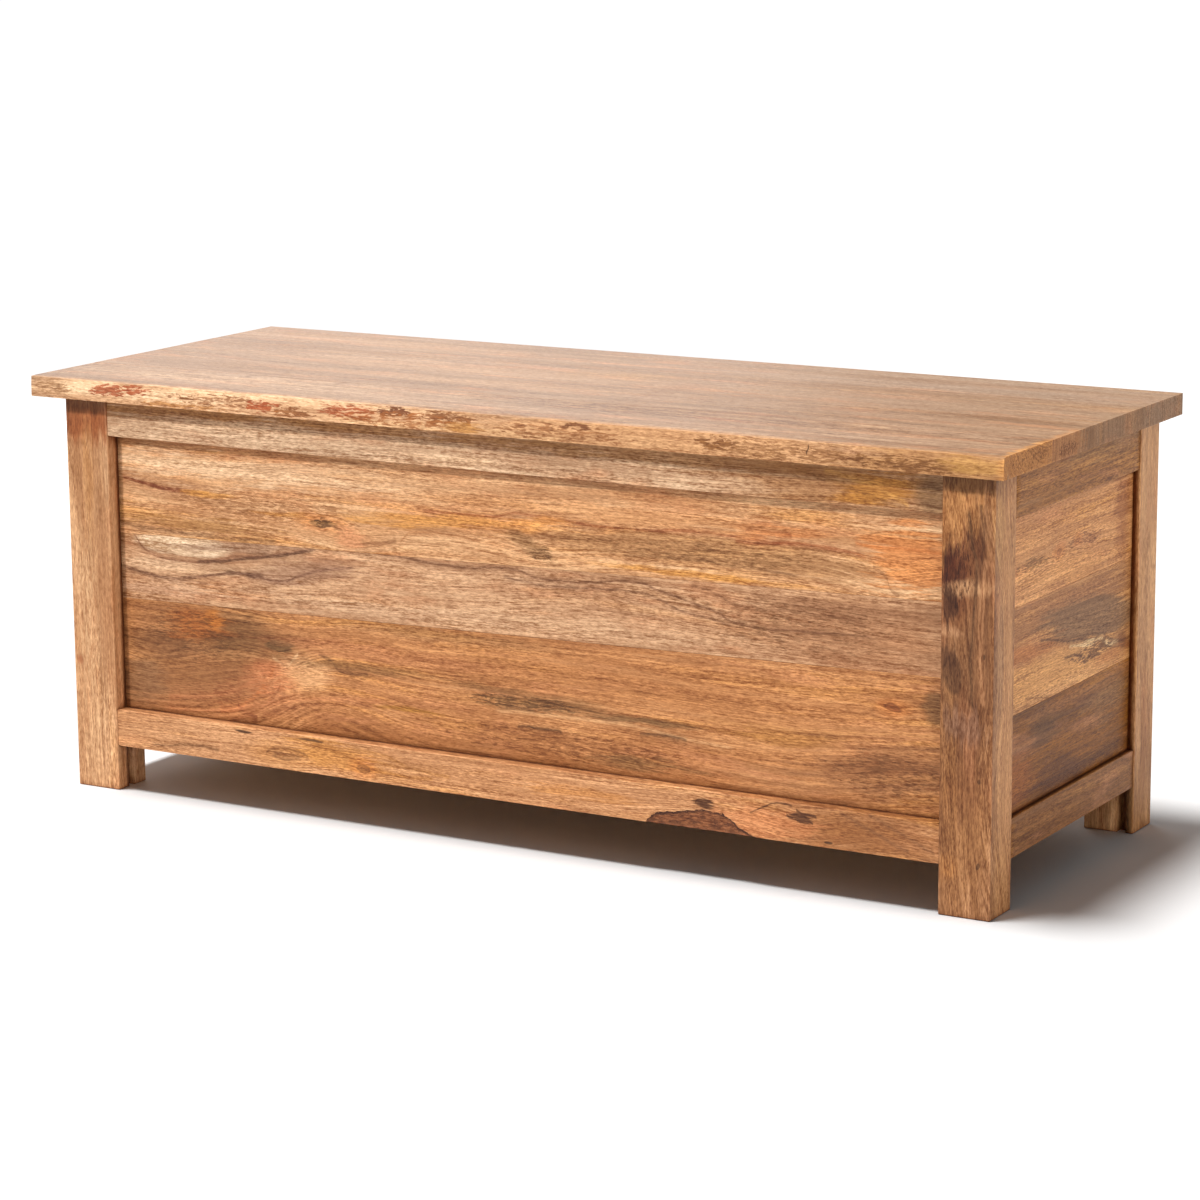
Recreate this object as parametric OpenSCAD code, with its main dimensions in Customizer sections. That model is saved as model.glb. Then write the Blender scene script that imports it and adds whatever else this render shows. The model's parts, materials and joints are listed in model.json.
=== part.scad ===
// Storage bench: a frame-and-panel chest with a hinged board lid.
// Four grooved legs and eight tenoned rails hold board panels; a board floor rests on cleats,
// and the lid swings on two butt hinges, held open by two slotted stays.
// Millimetres, +Z up, front towards -Y, origin on the floor under the middle of the lid.

/* [Overall size] */
// Length of the lid
lid_w = 1120; // [1000:10:1300]
// Depth of the lid, front to back
lid_d = 440; // [420:5:500]
// Height of the seat above the floor
bench_h = 450; // [430:5:500]
// Thickness of the lid boards
lid_t = 22; // [20:1:28]

/* [Lid overhang] */
// Overhang of the lid past the legs at each end
over_side = 21; // [5:1:40]
// Overhang past the front legs
over_front = 30; // [10:1:40]
// Overhang past the rear legs, which covers the hinge knuckles
over_back = 8; // [8:1:15]

/* [Legs and rails] */
// Width of a leg, seen from the front
leg_w = 54; // [50:1:70]
// Depth of a leg, seen from the side
leg_d = 48; // [46:1:70]
// Thickness of the rails
rail_t = 32; // [32:1:36]
// How far the rails lie back from the legs' outer faces
rail_setback = 1.5; // [0.5:0.5:3]
// Height of the front and rear top rails
long_top_rail_h = 42; // [38:1:60]
// Height of the side top rails
side_top_rail_h = 50; // [44:1:60]
// Height of the bottom rails
bottom_rail_h = 40; // [36:1:60]
// Gap between the floor and the bottom rails
foot_gap = 49; // [30:1:90]

/* [Panels] */
// Thickness of the panel boards
panel_t = 10; // [8:1:10]
// How far the front and rear panels lie back from the legs' outer faces
panel_inset = 18; // [14:1:18]
// How far the side panels lie back from the legs' outer faces
side_panel_inset = 8; // [7:1:18]
// Depth of the grooves in the legs and rails
groove_depth = 11; // [8:1:11]
// Play left at the bottom of each groove for the wood to move
groove_play = 1; // [0.5:0.5:2]
// Heights of the front panel's lower seam at the left and right legs
front_lower_seam = [209, 226.5]; // [150:0.5:240]
// Heights of the front panel's upper seam at the left and right legs
front_upper_seam = [279.5, 299]; // [250:0.5:340]
// Heights of the side panels' two seams
side_seams = [185, 289]; // [130:1:330]

/* [Floor] */
// Thickness of the floor boards
floor_t = 12; // [9:1:15]
// Number of floor boards
floor_boards = 4; // [3:1:5]
// Width of the cleats that carry the floor
cleat_w = 18; // [16:1:20]
// Height of the cleats
cleat_h = 12; // [10:1:14]

/* [Lid] */
// Number of boards glued into the lid
lid_boards = 4; // [3:1:5]
// Number of battens under the lid
battens = 3; // [2:1:4]
// Width of a batten
batten_w = 36; // [30:1:50]
// Thickness of a batten
batten_t = 18; // [15:1:20]

/* [Hinges] */
// Distance of each hinge's middle from the middle of the bench
hinge_x = 330; // [250:5:380]
// Length of a hinge
hinge_len = 76; // [60:1:80]
// Width of each leaf, from the pin's centre
leaf_w = 22; // [20:1:26]
// Thickness of a leaf
leaf_t = 1.5; // [1.2:0.1:2]

/* [Stays] */
// Distance of the stays' pivots from the hinge line
stay_reach = 170; // [140:5:180]
// Opening angle at which the stays stop the lid
open_angle = 95; // [80:1:100]

/* [Hidden] */
$fn = 48;

// Carcass: outer faces of the legs
leg_h = bench_h - lid_t;
half_w = lid_w / 2 - over_side;
front_y = -lid_d / 2 + over_front;
back_y = lid_d / 2 - over_back;
carcass_d = back_y - front_y;
mid_y = (front_y + back_y) / 2;
eps = 0.01;

// Rails and grooves
rail_back = rail_setback + rail_t;
long_rail_len = 2 * (half_w - leg_w);
side_rail_len = carcass_d - 2 * leg_d;
tenon_len = groove_depth - groove_play;
bottom_rail_top = foot_gap + bottom_rail_h;
inner_x = half_w - rail_back;
inner_front = front_y + rail_back;
inner_back = back_y - rail_back;

// Cleats, bearer and floor
cleat_z = foot_gap + 2;
floor_z = cleat_z + cleat_h;
floor_play = 1;
floor_board_w = (inner_back - inner_front - floor_play) / floor_boards - floor_play;
long_cleat_len = long_rail_len - 2 * floor_play;
side_cleat_len = side_rail_len - 2 * floor_play;
bearer_w = 40;

// Lid
lid_board_w = lid_d / lid_boards;
batten_len = 300;
batten_y = mid_y - 8;
batten_span = 790;
batten_reach = batten_len / 2 - 14;

// Wood screws: shank radius and head radius
screw_r = 1.6;
head_r = 3.4;
head_h = 1.8;
recess_w = 0.8;
long_screw = 30;
short_screw = 16;
hinge_screw_x = 25;
hinge_screw_in = 15;
cleat_screws_long = 4;
cleat_screws_side = 2;

// Hinge: the knuckle's centre lies behind the rear rail and just under the lid
knuckle_r = 3.2;
knuckle_gap = 0.3;
knuckles = 5;
pin_r = 1.5;
pin_clear = 0.05;
rear_rail_face = back_y - rail_setback;
hinge_y = rear_rail_face + knuckle_r + knuckle_gap;
hinge_z = leg_h - knuckle_r - knuckle_gap;
knuckle_len = (hinge_len - (knuckles - 1) * knuckle_gap) / knuckles;
mortise_play = 0.3;

// Stays. The lid pivot and the side stud are equally far from the hinge line, so each arm turns
// by exactly half the lid's angle while its slot slides along the stud.
stay_pivot_drop = 10;
stay_stud_drop = 28;
pivot_dz = leg_h - stay_pivot_drop - hinge_z;
pivot_dy = -stay_reach;
stay_radius = sqrt(pivot_dy * pivot_dy + pivot_dz * pivot_dz);
stud_dz = leg_h - stay_stud_drop - hinge_z;
stud_dy = -sqrt(stay_radius * stay_radius - stud_dz * stud_dz);
pivot_y = hinge_y + pivot_dy;
pivot_z = hinge_z + pivot_dz;
stud_y = hinge_y + stud_dy;
stud_z = hinge_z + stud_dz;
rest_angle = asin(-stud_dz / stay_radius) - asin(-pivot_dz / stay_radius);
slot_near = 2 * stay_radius * sin(rest_angle / 2);
slot_far = 2 * stay_radius * sin((rest_angle + open_angle) / 2);
stud_r = 3;
slot_play = 0.2;
slot_end_near = 0.6;
slot_end_far = 0.1;
arm_r = 7;
arm_t = 2;
arm_len = slot_far + stud_r + arm_r;
arm_turn = atan2(stud_z - pivot_z, stud_y - pivot_y);
rivet_r = 2.5;
rivet_head_t = 0.9;
stud_head_t = 2.4;
plate_t = 1.6;
collar_t = 1.5;
arm_gap = 0.2;
arm_x = inner_x - plate_t - collar_t - arm_gap;
bracket_ear_r = 8;
bracket_len = 44;
bracket_w = 16;
bracket_screw_y = 15;
stud_plate_len = 40;
stud_plate_h = 18;
stud_screw_y = 13;

// Colours of the parts
leg_tan = [0.76, 0.55, 0.36];
rail_tan = [0.70, 0.52, 0.36];
panel_tan = [0.74, 0.52, 0.33];
panel_brown = [0.62, 0.43, 0.28];
lid_tan = [0.72, 0.56, 0.43];
floor_tan = [0.80, 0.66, 0.48];
antique_brass = [0.55, 0.43, 0.24];
steel = [0.62, 0.62, 0.64];

// ---------- Shared shapes ----------

// A box given by its low and high corners
module block(low, high) {
    translate(low) cube(high - low);
}

// Copies its children at the left (-1) or right (+1) end; the right end is a mirror image
module at_end(side) {
    if (side > 0) children();
    else mirror([1, 0, 0]) children();
}

// A countersunk wood screw, its head's flat face at the origin and its shank down -Z
module screw_body(len) {
    translate([0, 0, -head_h]) cylinder(h = head_h, r1 = screw_r, r2 = head_r);
    translate([0, 0, -len]) cylinder(h = len - head_h + eps, r = screw_r);
}

module screw(len) {
    difference() {
        screw_body(len);
        block([-head_r * 0.6, -recess_w / 2, -1], [head_r * 0.6, recess_w / 2, 1]);
        block([-recess_w / 2, -head_r * 0.6, -1], [recess_w / 2, head_r * 0.6, 1]);
    }
}

// ---------- Screw places: each module puts its children at the heads, shank down local -Z ----------

// Cleats to rails: heads on the cleats' inner faces, shanks outwards
module at_cleat_screws() {
    z = cleat_z + cleat_h / 2;
    for (i = [0 : cleat_screws_long - 1]) {
        x = (i - (cleat_screws_long - 1) / 2) * long_cleat_len / cleat_screws_long;
        translate([x, inner_front + cleat_w, z]) rotate([-90, 0, 0]) children();
        translate([x, inner_back - cleat_w, z]) rotate([90, 0, 0]) children();
    }
    for (side = [-1, 1], i = [0 : cleat_screws_side - 1]) {
        y = mid_y + (i - (cleat_screws_side - 1) / 2) * side_cleat_len / cleat_screws_side;
        translate([side * (inner_x - cleat_w), y, z]) rotate([0, side * -90, 0]) children();
    }
}

// Floor boards to the side cleats and the bearer: two screws in each board at each place
module at_floor_screws() {
    for (i = [0 : floor_boards - 1], x = [-1, 0, 1], off = [-1, 1]) {
        y = floor_board_y(i) + floor_board_w * (0.5 + 0.25 * off);
        end_x = inner_x - cleat_w / 2;
        reaches = x == 0 || (y > front_y + leg_d + head_r && y < back_y - leg_d - head_r);
        if (reaches) translate([x * end_x, y, floor_z + floor_t]) children();
    }
}

// Battens to the lid boards: heads on the battens' undersides
module at_batten_screws() {
    for (i = [0 : battens - 1], b = [0 : lid_boards - 1]) {
        x = batten_x(i);
        y = -lid_d / 2 + lid_board_w * (b + 0.5);
        inside = min(max(y, batten_y - batten_reach), batten_y + batten_reach);
        translate([x, inside, leg_h - batten_t]) rotate([180, 0, 0]) children();
    }
}

// Hinge box leaves to the rear top rail: heads on the leaves' rear faces
module at_hinge_box_screws() {
    y = rear_rail_face + leaf_t;
    for (side = [-1, 1], i = [-1 : 1])
        translate([side * hinge_x + i * hinge_screw_x, y, hinge_z - hinge_screw_in])
            rotate([-90, 0, 0]) children();
}

// Hinge lid leaves to the rear lid board: heads on the leaves' undersides
module at_hinge_lid_screws() {
    for (side = [-1, 1], i = [-1 : 1])
        translate([side * hinge_x + i * hinge_screw_x, hinge_y - hinge_screw_in, leg_h - leaf_t])
            rotate([180, 0, 0]) children();
}

// Stay plates to the side top rails
module at_stay_box_screws() {
    for (side = [-1, 1], i = [-1, 1])
        translate([side * (inner_x - plate_t), stud_y + i * stud_screw_y, stud_z])
            rotate([0, side * -90, 0]) children();
}

// Stay brackets to the lid
module at_stay_lid_screws() {
    x = arm_x + plate_t - bracket_w / 2;
    for (side = [-1, 1], i = [-1, 1])
        translate([side * x, pivot_y + i * bracket_screw_y, leg_h - plate_t])
            rotate([180, 0, 0]) children();
}

// ---------- Carcass ----------

// The front-right leg; the other three are its mirror images
module leg_post() {
    x1 = half_w;
    x0 = half_w - leg_w;
    y0 = front_y;
    y1 = front_y + leg_d;
    g0 = panel_inset;
    g1 = panel_inset + panel_t;
    s0 = side_panel_inset;
    s1 = side_panel_inset + panel_t;
    difference() {
        block([x0, y0, 0], [x1, y1, leg_h]);
        block([x0 - eps, y0 + g0, -eps], [x0 + groove_depth, y0 + g1, leg_h + eps]);
        block([x1 - s1, y1 - groove_depth, -eps], [x1 - s0, y1 + eps, leg_h + eps]);
    }
}

module leg(side, rear) {
    color(leg_tan) at_end(side) {
        if (rear) translate([0, 2 * mid_y, 0]) mirror([0, 1, 0]) leg_post();
        else leg_post();
    }
}

// A rail along +X, centred on x = 0, its outer face at y = 0 and its tenons in the legs' grooves.
// The groove for the panel is on top of a bottom rail and underneath a top rail.
module rail_blank(len, z0, z1, groove_on_top, inset) {
    g0 = inset - rail_setback;
    g1 = g0 + panel_t;
    cut_half = len / 2 + groove_depth;
    cut_low = groove_on_top ? z1 - groove_depth : z0 - eps;
    cut_high = groove_on_top ? z1 + eps : z0 + groove_depth;
    difference() {
        union() {
            block([-len / 2, 0, z0], [len / 2, rail_t, z1]);
            block([-len / 2 - tenon_len, g0, z0], [len / 2 + tenon_len, g1, z1]);
        }
        block([-cut_half, g0, cut_low], [cut_half, g1, cut_high]);
    }
}

module front_rail(z0, z1, groove_on_top) {
    translate([0, front_y + rail_setback, 0])
        rail_blank(long_rail_len, z0, z1, groove_on_top, panel_inset);
}

module rear_rail(z0, z1, groove_on_top) {
    translate([0, rear_rail_face, 0])
        rotate([0, 0, 180]) rail_blank(long_rail_len, z0, z1, groove_on_top, panel_inset);
}

module side_rail(side, z0, z1, groove_on_top) {
    translate([side * (half_w - rail_setback), mid_y, 0])
        rotate([0, 0, side * 90]) rail_blank(side_rail_len, z0, z1, groove_on_top, side_panel_inset);
}

module front_top_rail() {
    color(rail_tan) front_rail(leg_h - long_top_rail_h, leg_h, false);
}

module front_bottom_rail() {
    color(rail_tan) difference() {
        front_rail(foot_gap, bottom_rail_top, true);
        at_cleat_screws() screw_body(long_screw);
    }
}

// The rear top rail, with a shallow mortise on top for each hinge's lid leaf
module rear_top_rail() {
    half = hinge_len / 2 + mortise_play;
    mortise_y = hinge_y - leaf_w - mortise_play;
    mortise_z = leg_h - leaf_t - mortise_play;
    color(rail_tan) difference() {
        rear_rail(leg_h - long_top_rail_h, leg_h, false);
        at_hinge_box_screws() screw_body(short_screw);
        for (side = [-1, 1])
            translate([side * hinge_x, 0, 0])
                block([-half, mortise_y, mortise_z], [half, back_y, leg_h + eps]);
    }
}

module rear_bottom_rail() {
    color(rail_tan) difference() {
        rear_rail(foot_gap, bottom_rail_top, true);
        at_cleat_screws() screw_body(long_screw);
    }
}

module side_top_rail(side) {
    color(rail_tan) difference() {
        side_rail(side, leg_h - side_top_rail_h, leg_h, false);
        at_stay_box_screws() screw_body(short_screw);
    }
}

module side_bottom_rail(side) {
    color(rail_tan) difference() {
        side_rail(side, foot_gap, bottom_rail_top, true);
        at_cleat_screws() screw_body(long_screw);
    }
}

// ---------- Panels ----------

// One board of a panel, between a low and a high edge, each given as its left and right heights
module panel_board(len, low, high) {
    half = len / 2 + tenon_len;
    translate([0, panel_t, 0]) rotate([90, 0, 0]) linear_extrude(panel_t)
        polygon([[-half, low[0]], [half, low[1]], [half, high[1]], [-half, high[0]]]);
}

panel_bottom = bottom_rail_top - tenon_len;
long_panel_top = leg_h - long_top_rail_h + tenon_len;
side_panel_top = leg_h - side_top_rail_h + tenon_len;

// The seams of each panel, from the bottom rail's groove to the top rail's groove
front_seams = [
    [panel_bottom, panel_bottom], front_lower_seam, front_upper_seam, [long_panel_top, long_panel_top]
];
rear_seams = [for (i = [0 : 3]) panel_bottom + i * (long_panel_top - panel_bottom) / 3];
side_panel_seams = [panel_bottom, side_seams[0], side_seams[1], side_panel_top];

module front_panel_board(i) {
    color(i == 0 ? panel_brown : panel_tan) translate([0, front_y + panel_inset, 0])
        panel_board(long_rail_len, front_seams[i], front_seams[i + 1]);
}

module rear_panel_board(i) {
    low = rear_seams[i];
    high = rear_seams[i + 1];
    color(panel_tan) translate([0, back_y - panel_inset - panel_t, 0])
        panel_board(long_rail_len, [low, low], [high, high]);
}

module side_panel_board(side, i) {
    low = side_panel_seams[i];
    high = side_panel_seams[i + 1];
    color(i == 0 ? panel_brown : panel_tan) translate([side * (half_w - side_panel_inset), mid_y, 0])
        rotate([0, 0, side * 90]) panel_board(side_rail_len, [low, low], [high, high]);
}

// ---------- Floor ----------

module long_cleat(y) {
    color(floor_tan) difference() {
        block([-long_cleat_len / 2, y, cleat_z], [long_cleat_len / 2, y + cleat_w, floor_z]);
        at_cleat_screws() screw_body(long_screw);
    }
}

module side_cleat(side) {
    color(floor_tan) difference() {
        at_end(side) block([inner_x - cleat_w, mid_y - side_cleat_len / 2, cleat_z],
                           [inner_x, mid_y + side_cleat_len / 2, floor_z]);
        at_cleat_screws() screw_body(long_screw);
        at_floor_screws() screw_body(short_screw);
    }
}

// The bearer under the middle of the floor, between the long cleats
module floor_bearer() {
    color(floor_tan) difference() {
        block([-bearer_w / 2, inner_front + cleat_w, cleat_z], [bearer_w / 2, inner_back - cleat_w, floor_z]);
        at_floor_screws() screw_body(short_screw);
    }
}

function floor_board_y(i) = inner_front + floor_play + i * (floor_board_w + floor_play);

// A floor board; the outer two are notched round the legs
module floor_board(i) {
    y0 = floor_board_y(i);
    half = inner_x - floor_play;
    notch_x = half_w - leg_w - floor_play;
    notch_front = front_y + leg_d + floor_play;
    notch_back = back_y - leg_d - floor_play;
    z0 = floor_z - 1;
    z1 = floor_z + floor_t + 1;
    color(floor_tan) difference() {
        block([-half, y0, floor_z], [half, y0 + floor_board_w, floor_z + floor_t]);
        for (side = [-1, 1]) at_end(side) {
            block([notch_x, inner_front - 1, z0], [half + 1, notch_front, z1]);
            block([notch_x, notch_back, z0], [half + 1, inner_back + 1, z1]);
        }
        at_floor_screws() screw_body(short_screw);
    }
}

module cleat_screws() {
    color(steel) at_cleat_screws() screw(long_screw);
}

module floor_screws() {
    color(steel) at_floor_screws() screw(short_screw);
}

// ---------- Lid ----------

function batten_x(i) = battens == 1 ? 0 : batten_span * (i / (battens - 1) - 0.5);

module lid_board(i) {
    y0 = -lid_d / 2 + i * lid_board_w;
    color(lid_tan) difference() {
        block([-lid_w / 2, y0, leg_h], [lid_w / 2, y0 + lid_board_w, bench_h]);
        at_batten_screws() screw_body(long_screw);
        at_hinge_lid_screws() screw_body(short_screw);
        at_stay_lid_screws() screw_body(short_screw);
    }
}

module lid_batten(i) {
    color(floor_tan) difference() {
        block([batten_x(i) - batten_w / 2, batten_y - batten_len / 2, leg_h - batten_t],
              [batten_x(i) + batten_w / 2, batten_y + batten_len / 2, leg_h]);
        at_batten_screws() screw_body(long_screw);
    }
}

module batten_screws() {
    color(steel) at_batten_screws() screw(long_screw);
}

// ---------- Hinges ----------

function knuckle_x(i) = -hinge_len / 2 + i * (knuckle_len + knuckle_gap);

// Knuckle i of a hinge, or the bore through it
module knuckle(i, r, extra) {
    translate([knuckle_x(i) - extra, hinge_y, hinge_z])
        rotate([0, 90, 0]) cylinder(h = knuckle_len + 2 * extra, r = r);
}

// The leaf on the rear top rail, standing down from the knuckles
module hinge_box_leaf(side) {
    y0 = rear_rail_face;
    clear_z = hinge_z - knuckle_r - knuckle_gap;
    color(antique_brass) translate([side * hinge_x, 0, 0]) difference() {
        union() {
            block([-hinge_len / 2, y0, hinge_z - leaf_w], [hinge_len / 2, y0 + leaf_t, clear_z]);
            for (i = [0 : 2 : knuckles - 1]) {
                x0 = knuckle_x(i);
                block([x0, y0, clear_z - eps], [x0 + knuckle_len, y0 + leaf_t, hinge_z]);
                knuckle(i, knuckle_r, 0);
            }
        }
        for (i = [0 : 2 : knuckles - 1]) knuckle(i, pin_r, eps);
        translate([-side * hinge_x, 0, 0]) at_hinge_box_screws() screw_body(short_screw);
    }
}

// The leaf under the lid, running forwards from the knuckles
module hinge_lid_leaf(side) {
    z1 = leg_h;
    clear_y = hinge_y - knuckle_r - knuckle_gap;
    color(antique_brass) translate([side * hinge_x, 0, 0]) difference() {
        union() {
            block([-hinge_len / 2, hinge_y - leaf_w, z1 - leaf_t], [hinge_len / 2, clear_y, z1]);
            for (i = [1 : 2 : knuckles - 1]) {
                x0 = knuckle_x(i);
                block([x0, clear_y - eps, z1 - leaf_t], [x0 + knuckle_len, hinge_y, z1]);
                knuckle(i, knuckle_r, 0);
            }
        }
        for (i = [1 : 2 : knuckles - 1]) knuckle(i, pin_r + pin_clear, eps);
        translate([-side * hinge_x, 0, 0]) at_hinge_lid_screws() screw_body(short_screw);
    }
}

module hinge_pin(side) {
    color(antique_brass) translate([side * hinge_x - hinge_len / 2, hinge_y, hinge_z])
        rotate([0, 90, 0]) cylinder(h = hinge_len, r = pin_r);
}

// ---------- Stays ----------

// A straight slot or bar between two distances along the arm, as a solid with round ends
module arm_stadium(from, to, r, extra) {
    rotate([arm_turn, 0, 0]) {
        for (s = [from, to])
            translate([-extra, s, 0]) rotate([0, 90, 0]) cylinder(h = arm_t + 2 * extra, r = r);
        translate([-extra, from, -r]) cube([arm_t + 2 * extra, to - from, 2 * r]);
    }
}

module stay_arm(side) {
    color(antique_brass) at_end(side) translate([arm_x - arm_t, pivot_y, pivot_z]) difference() {
        arm_stadium(0, arm_len - arm_r, arm_r, 0);
        arm_stadium(slot_near - slot_end_near, slot_far + slot_end_far, stud_r + slot_play, 1);
        translate([-1, 0, 0]) rotate([0, 90, 0]) cylinder(h = arm_t + 2, r = rivet_r + pin_clear);
    }
}

// The bracket under the lid: a screwed foot and an ear that carries the arm's rivet
module stay_bracket(side) {
    x0 = arm_x + arm_gap;
    x1 = x0 + plate_t;
    y0 = pivot_y - bracket_ear_r;
    y1 = pivot_y + bracket_ear_r;
    half = bracket_len / 2;
    color(antique_brass) difference() {
        at_end(side) union() {
            block([x1 - bracket_w, pivot_y - half, leg_h - plate_t], [x1, pivot_y + half, leg_h]);
            block([x0, y0, pivot_z], [x1, y1, leg_h - plate_t + eps]);
            translate([x0, pivot_y, pivot_z])
                rotate([0, 90, 0]) cylinder(h = plate_t, r = bracket_ear_r);
        }
        at_end(side) translate([x0 - 1, pivot_y, pivot_z])
            rotate([0, 90, 0]) cylinder(h = plate_t + 2, r = rivet_r);
        at_stay_lid_screws() screw_body(short_screw);
    }
}

// The rivet through the ear and the arm, with a flat head on each side
module stay_rivet(side) {
    x0 = arm_x - arm_t - arm_gap;
    x1 = arm_x + arm_gap + plate_t;
    rivet_head_r = rivet_r + 1.5;
    color(steel) at_end(side) translate([0, pivot_y, pivot_z]) rotate([0, 90, 0]) {
        translate([0, 0, x0 - rivet_head_t]) cylinder(h = rivet_head_t, r = rivet_head_r);
        translate([0, 0, x0 - eps]) cylinder(h = x1 - x0 + 2 * eps, r = rivet_r);
        translate([0, 0, x1]) cylinder(h = rivet_head_t, r = rivet_head_r);
    }
}

// The plate on the side rail with its collar, stud and round head, which holds the arm's slot
module stay_stud(side) {
    x0 = arm_x - arm_t - arm_gap;
    x1 = arm_x + arm_gap;
    half_len = stud_plate_len / 2;
    half_h = stud_plate_h / 2;
    color(antique_brass) difference() {
        at_end(side) union() {
            block([inner_x - plate_t, stud_y - half_len, stud_z - half_h],
                  [inner_x, stud_y + half_len, stud_z + half_h]);
            translate([0, stud_y, stud_z]) rotate([0, 90, 0]) {
                translate([0, 0, x1]) cylinder(h = collar_t + eps, r = stud_r + 2.5);
                translate([0, 0, x0 - eps]) cylinder(h = x1 - x0 + 2 * eps, r = stud_r);
                translate([0, 0, x0 - stud_head_t])
                    cylinder(h = stud_head_t, r1 = stud_r + 1, r2 = stud_r + 3);
            }
        }
        at_stay_box_screws() screw_body(short_screw);
    }
}

// The brass screws of the hinges and stays, in the carcass and in the lid
module fitting_screws_box() {
    color(antique_brass) {
        at_hinge_box_screws() screw(short_screw);
        at_stay_box_screws() screw(short_screw);
    }
}

module fitting_screws_lid() {
    color(antique_brass) {
        at_hinge_lid_screws() screw(short_screw);
        at_stay_lid_screws() screw(short_screw);
    }
}

// ---------- Nodes ----------

leg(-1, false);  // leg_front_left
leg(1, false);  // leg_front_right
leg(-1, true);  // leg_rear_left
leg(1, true);  // leg_rear_right
front_top_rail();
front_bottom_rail();
rear_top_rail();
rear_bottom_rail();
side_top_rail(-1);  // left_top_rail
side_bottom_rail(-1);  // left_bottom_rail
side_top_rail(1);  // right_top_rail
side_bottom_rail(1);  // right_bottom_rail
front_panel_board(2);  // front_panel_upper_board
front_panel_board(1);  // front_panel_middle_board
front_panel_board(0);  // front_panel_lower_board
rear_panel_board(2);  // rear_panel_upper_board
rear_panel_board(1);  // rear_panel_middle_board
rear_panel_board(0);  // rear_panel_lower_board
side_panel_board(-1, 2);  // left_panel_upper_board
side_panel_board(-1, 1);  // left_panel_middle_board
side_panel_board(-1, 0);  // left_panel_lower_board
side_panel_board(1, 2);  // right_panel_upper_board
side_panel_board(1, 1);  // right_panel_middle_board
side_panel_board(1, 0);  // right_panel_lower_board
long_cleat(inner_front);  // front_cleat
long_cleat(inner_back - cleat_w);  // rear_cleat
side_cleat(-1);  // left_cleat
side_cleat(1);  // right_cleat
floor_bearer();
floor_board(0);  // floor_board_front
floor_board(1);  // floor_board_mid_front
floor_board(2);  // floor_board_mid_rear
floor_board(3);  // floor_board_rear
cleat_screws();
floor_screws();
lid_board(0);  // lid_board_front
lid_board(1);  // lid_board_mid_front
lid_board(2);  // lid_board_mid_rear
lid_board(3);  // lid_board_rear
lid_batten(0);  // lid_batten_left
lid_batten(1);  // lid_batten_middle
lid_batten(2);  // lid_batten_right
batten_screws();
hinge_box_leaf(-1);  // left_hinge_box_leaf
hinge_lid_leaf(-1);  // left_hinge_lid_leaf
hinge_pin(-1);  // left_hinge_pin
hinge_box_leaf(1);  // right_hinge_box_leaf
hinge_lid_leaf(1);  // right_hinge_lid_leaf
hinge_pin(1);  // right_hinge_pin
stay_arm(-1);  // left_stay_arm
stay_bracket(-1);  // left_stay_bracket
stay_rivet(-1);  // left_stay_rivet
stay_stud(-1);  // left_stay_stud
stay_arm(1);  // right_stay_arm
stay_bracket(1);  // right_stay_bracket
stay_rivet(1);  // right_stay_rivet
stay_stud(1);  // right_stay_stud
fitting_screws_box();
fitting_screws_lid();
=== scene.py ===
"""Looks for the storage bench: planed mango-wood boards with their own figure, and dull brass fittings.

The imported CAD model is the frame. Each wooden part is rebuilt from its CAD solid with eased arrises,
slight unevenness and, where the bench has them, a waney lid edge and a bark pocket. Metal parts stay
the CAD solids with softened edges. Wood figure is solid, worked out in millimetres in the bench's own
frame (x to the right, y to the back, z up), so it runs through a board and shows on its end grain.
"""
import json
import math

import bmesh
import bpy
from mathutils import Matrix, Vector, noise


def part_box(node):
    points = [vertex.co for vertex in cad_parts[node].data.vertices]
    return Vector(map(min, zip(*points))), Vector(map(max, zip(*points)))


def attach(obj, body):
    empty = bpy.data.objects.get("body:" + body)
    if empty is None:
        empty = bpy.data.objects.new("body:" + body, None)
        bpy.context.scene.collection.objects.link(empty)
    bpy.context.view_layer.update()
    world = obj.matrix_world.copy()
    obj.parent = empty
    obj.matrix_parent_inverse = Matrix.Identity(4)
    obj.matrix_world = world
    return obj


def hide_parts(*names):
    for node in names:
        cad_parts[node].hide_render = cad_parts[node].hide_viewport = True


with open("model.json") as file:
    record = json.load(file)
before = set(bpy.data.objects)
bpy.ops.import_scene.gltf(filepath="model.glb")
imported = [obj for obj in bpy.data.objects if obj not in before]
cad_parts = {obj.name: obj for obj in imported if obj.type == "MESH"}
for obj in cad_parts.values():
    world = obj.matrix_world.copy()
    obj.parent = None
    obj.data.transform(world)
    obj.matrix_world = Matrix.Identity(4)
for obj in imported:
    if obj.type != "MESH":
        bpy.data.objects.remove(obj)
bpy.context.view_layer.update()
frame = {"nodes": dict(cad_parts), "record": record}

MM = 0.001
BODY_OF = {
    node: body
    for body, nodes in frame["record"]["behaviour"]["bodies"].items()
    for node in nodes
}
SLOT_OF = {part["node"]: part["material_slot"] for part in frame["record"]["subparts"]}

# Colours of the wood
PALE = "ecc8a6"
SALMON = "f0a87a"
GOLD = "e2a052"
ORANGE = "dc843e"
OCHRE = "c08644"
RUST = "9c522a"
GREYED = "b08c6c"
BROWN = "7a5030"
UMBER = "563620"
BARK = "683c24"


def linear(colour):
    """A six-digit hexadecimal colour as the linear colour that a shader takes."""
    shares = [int(colour[i:i + 2], 16) / 255 for i in (0, 2, 4)]
    return (*(s / 12.92 if s <= 0.04045 else ((s + 0.055) / 1.055) ** 2.4 for s in shares), 1)


# ---------- Node graphs ----------

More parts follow.
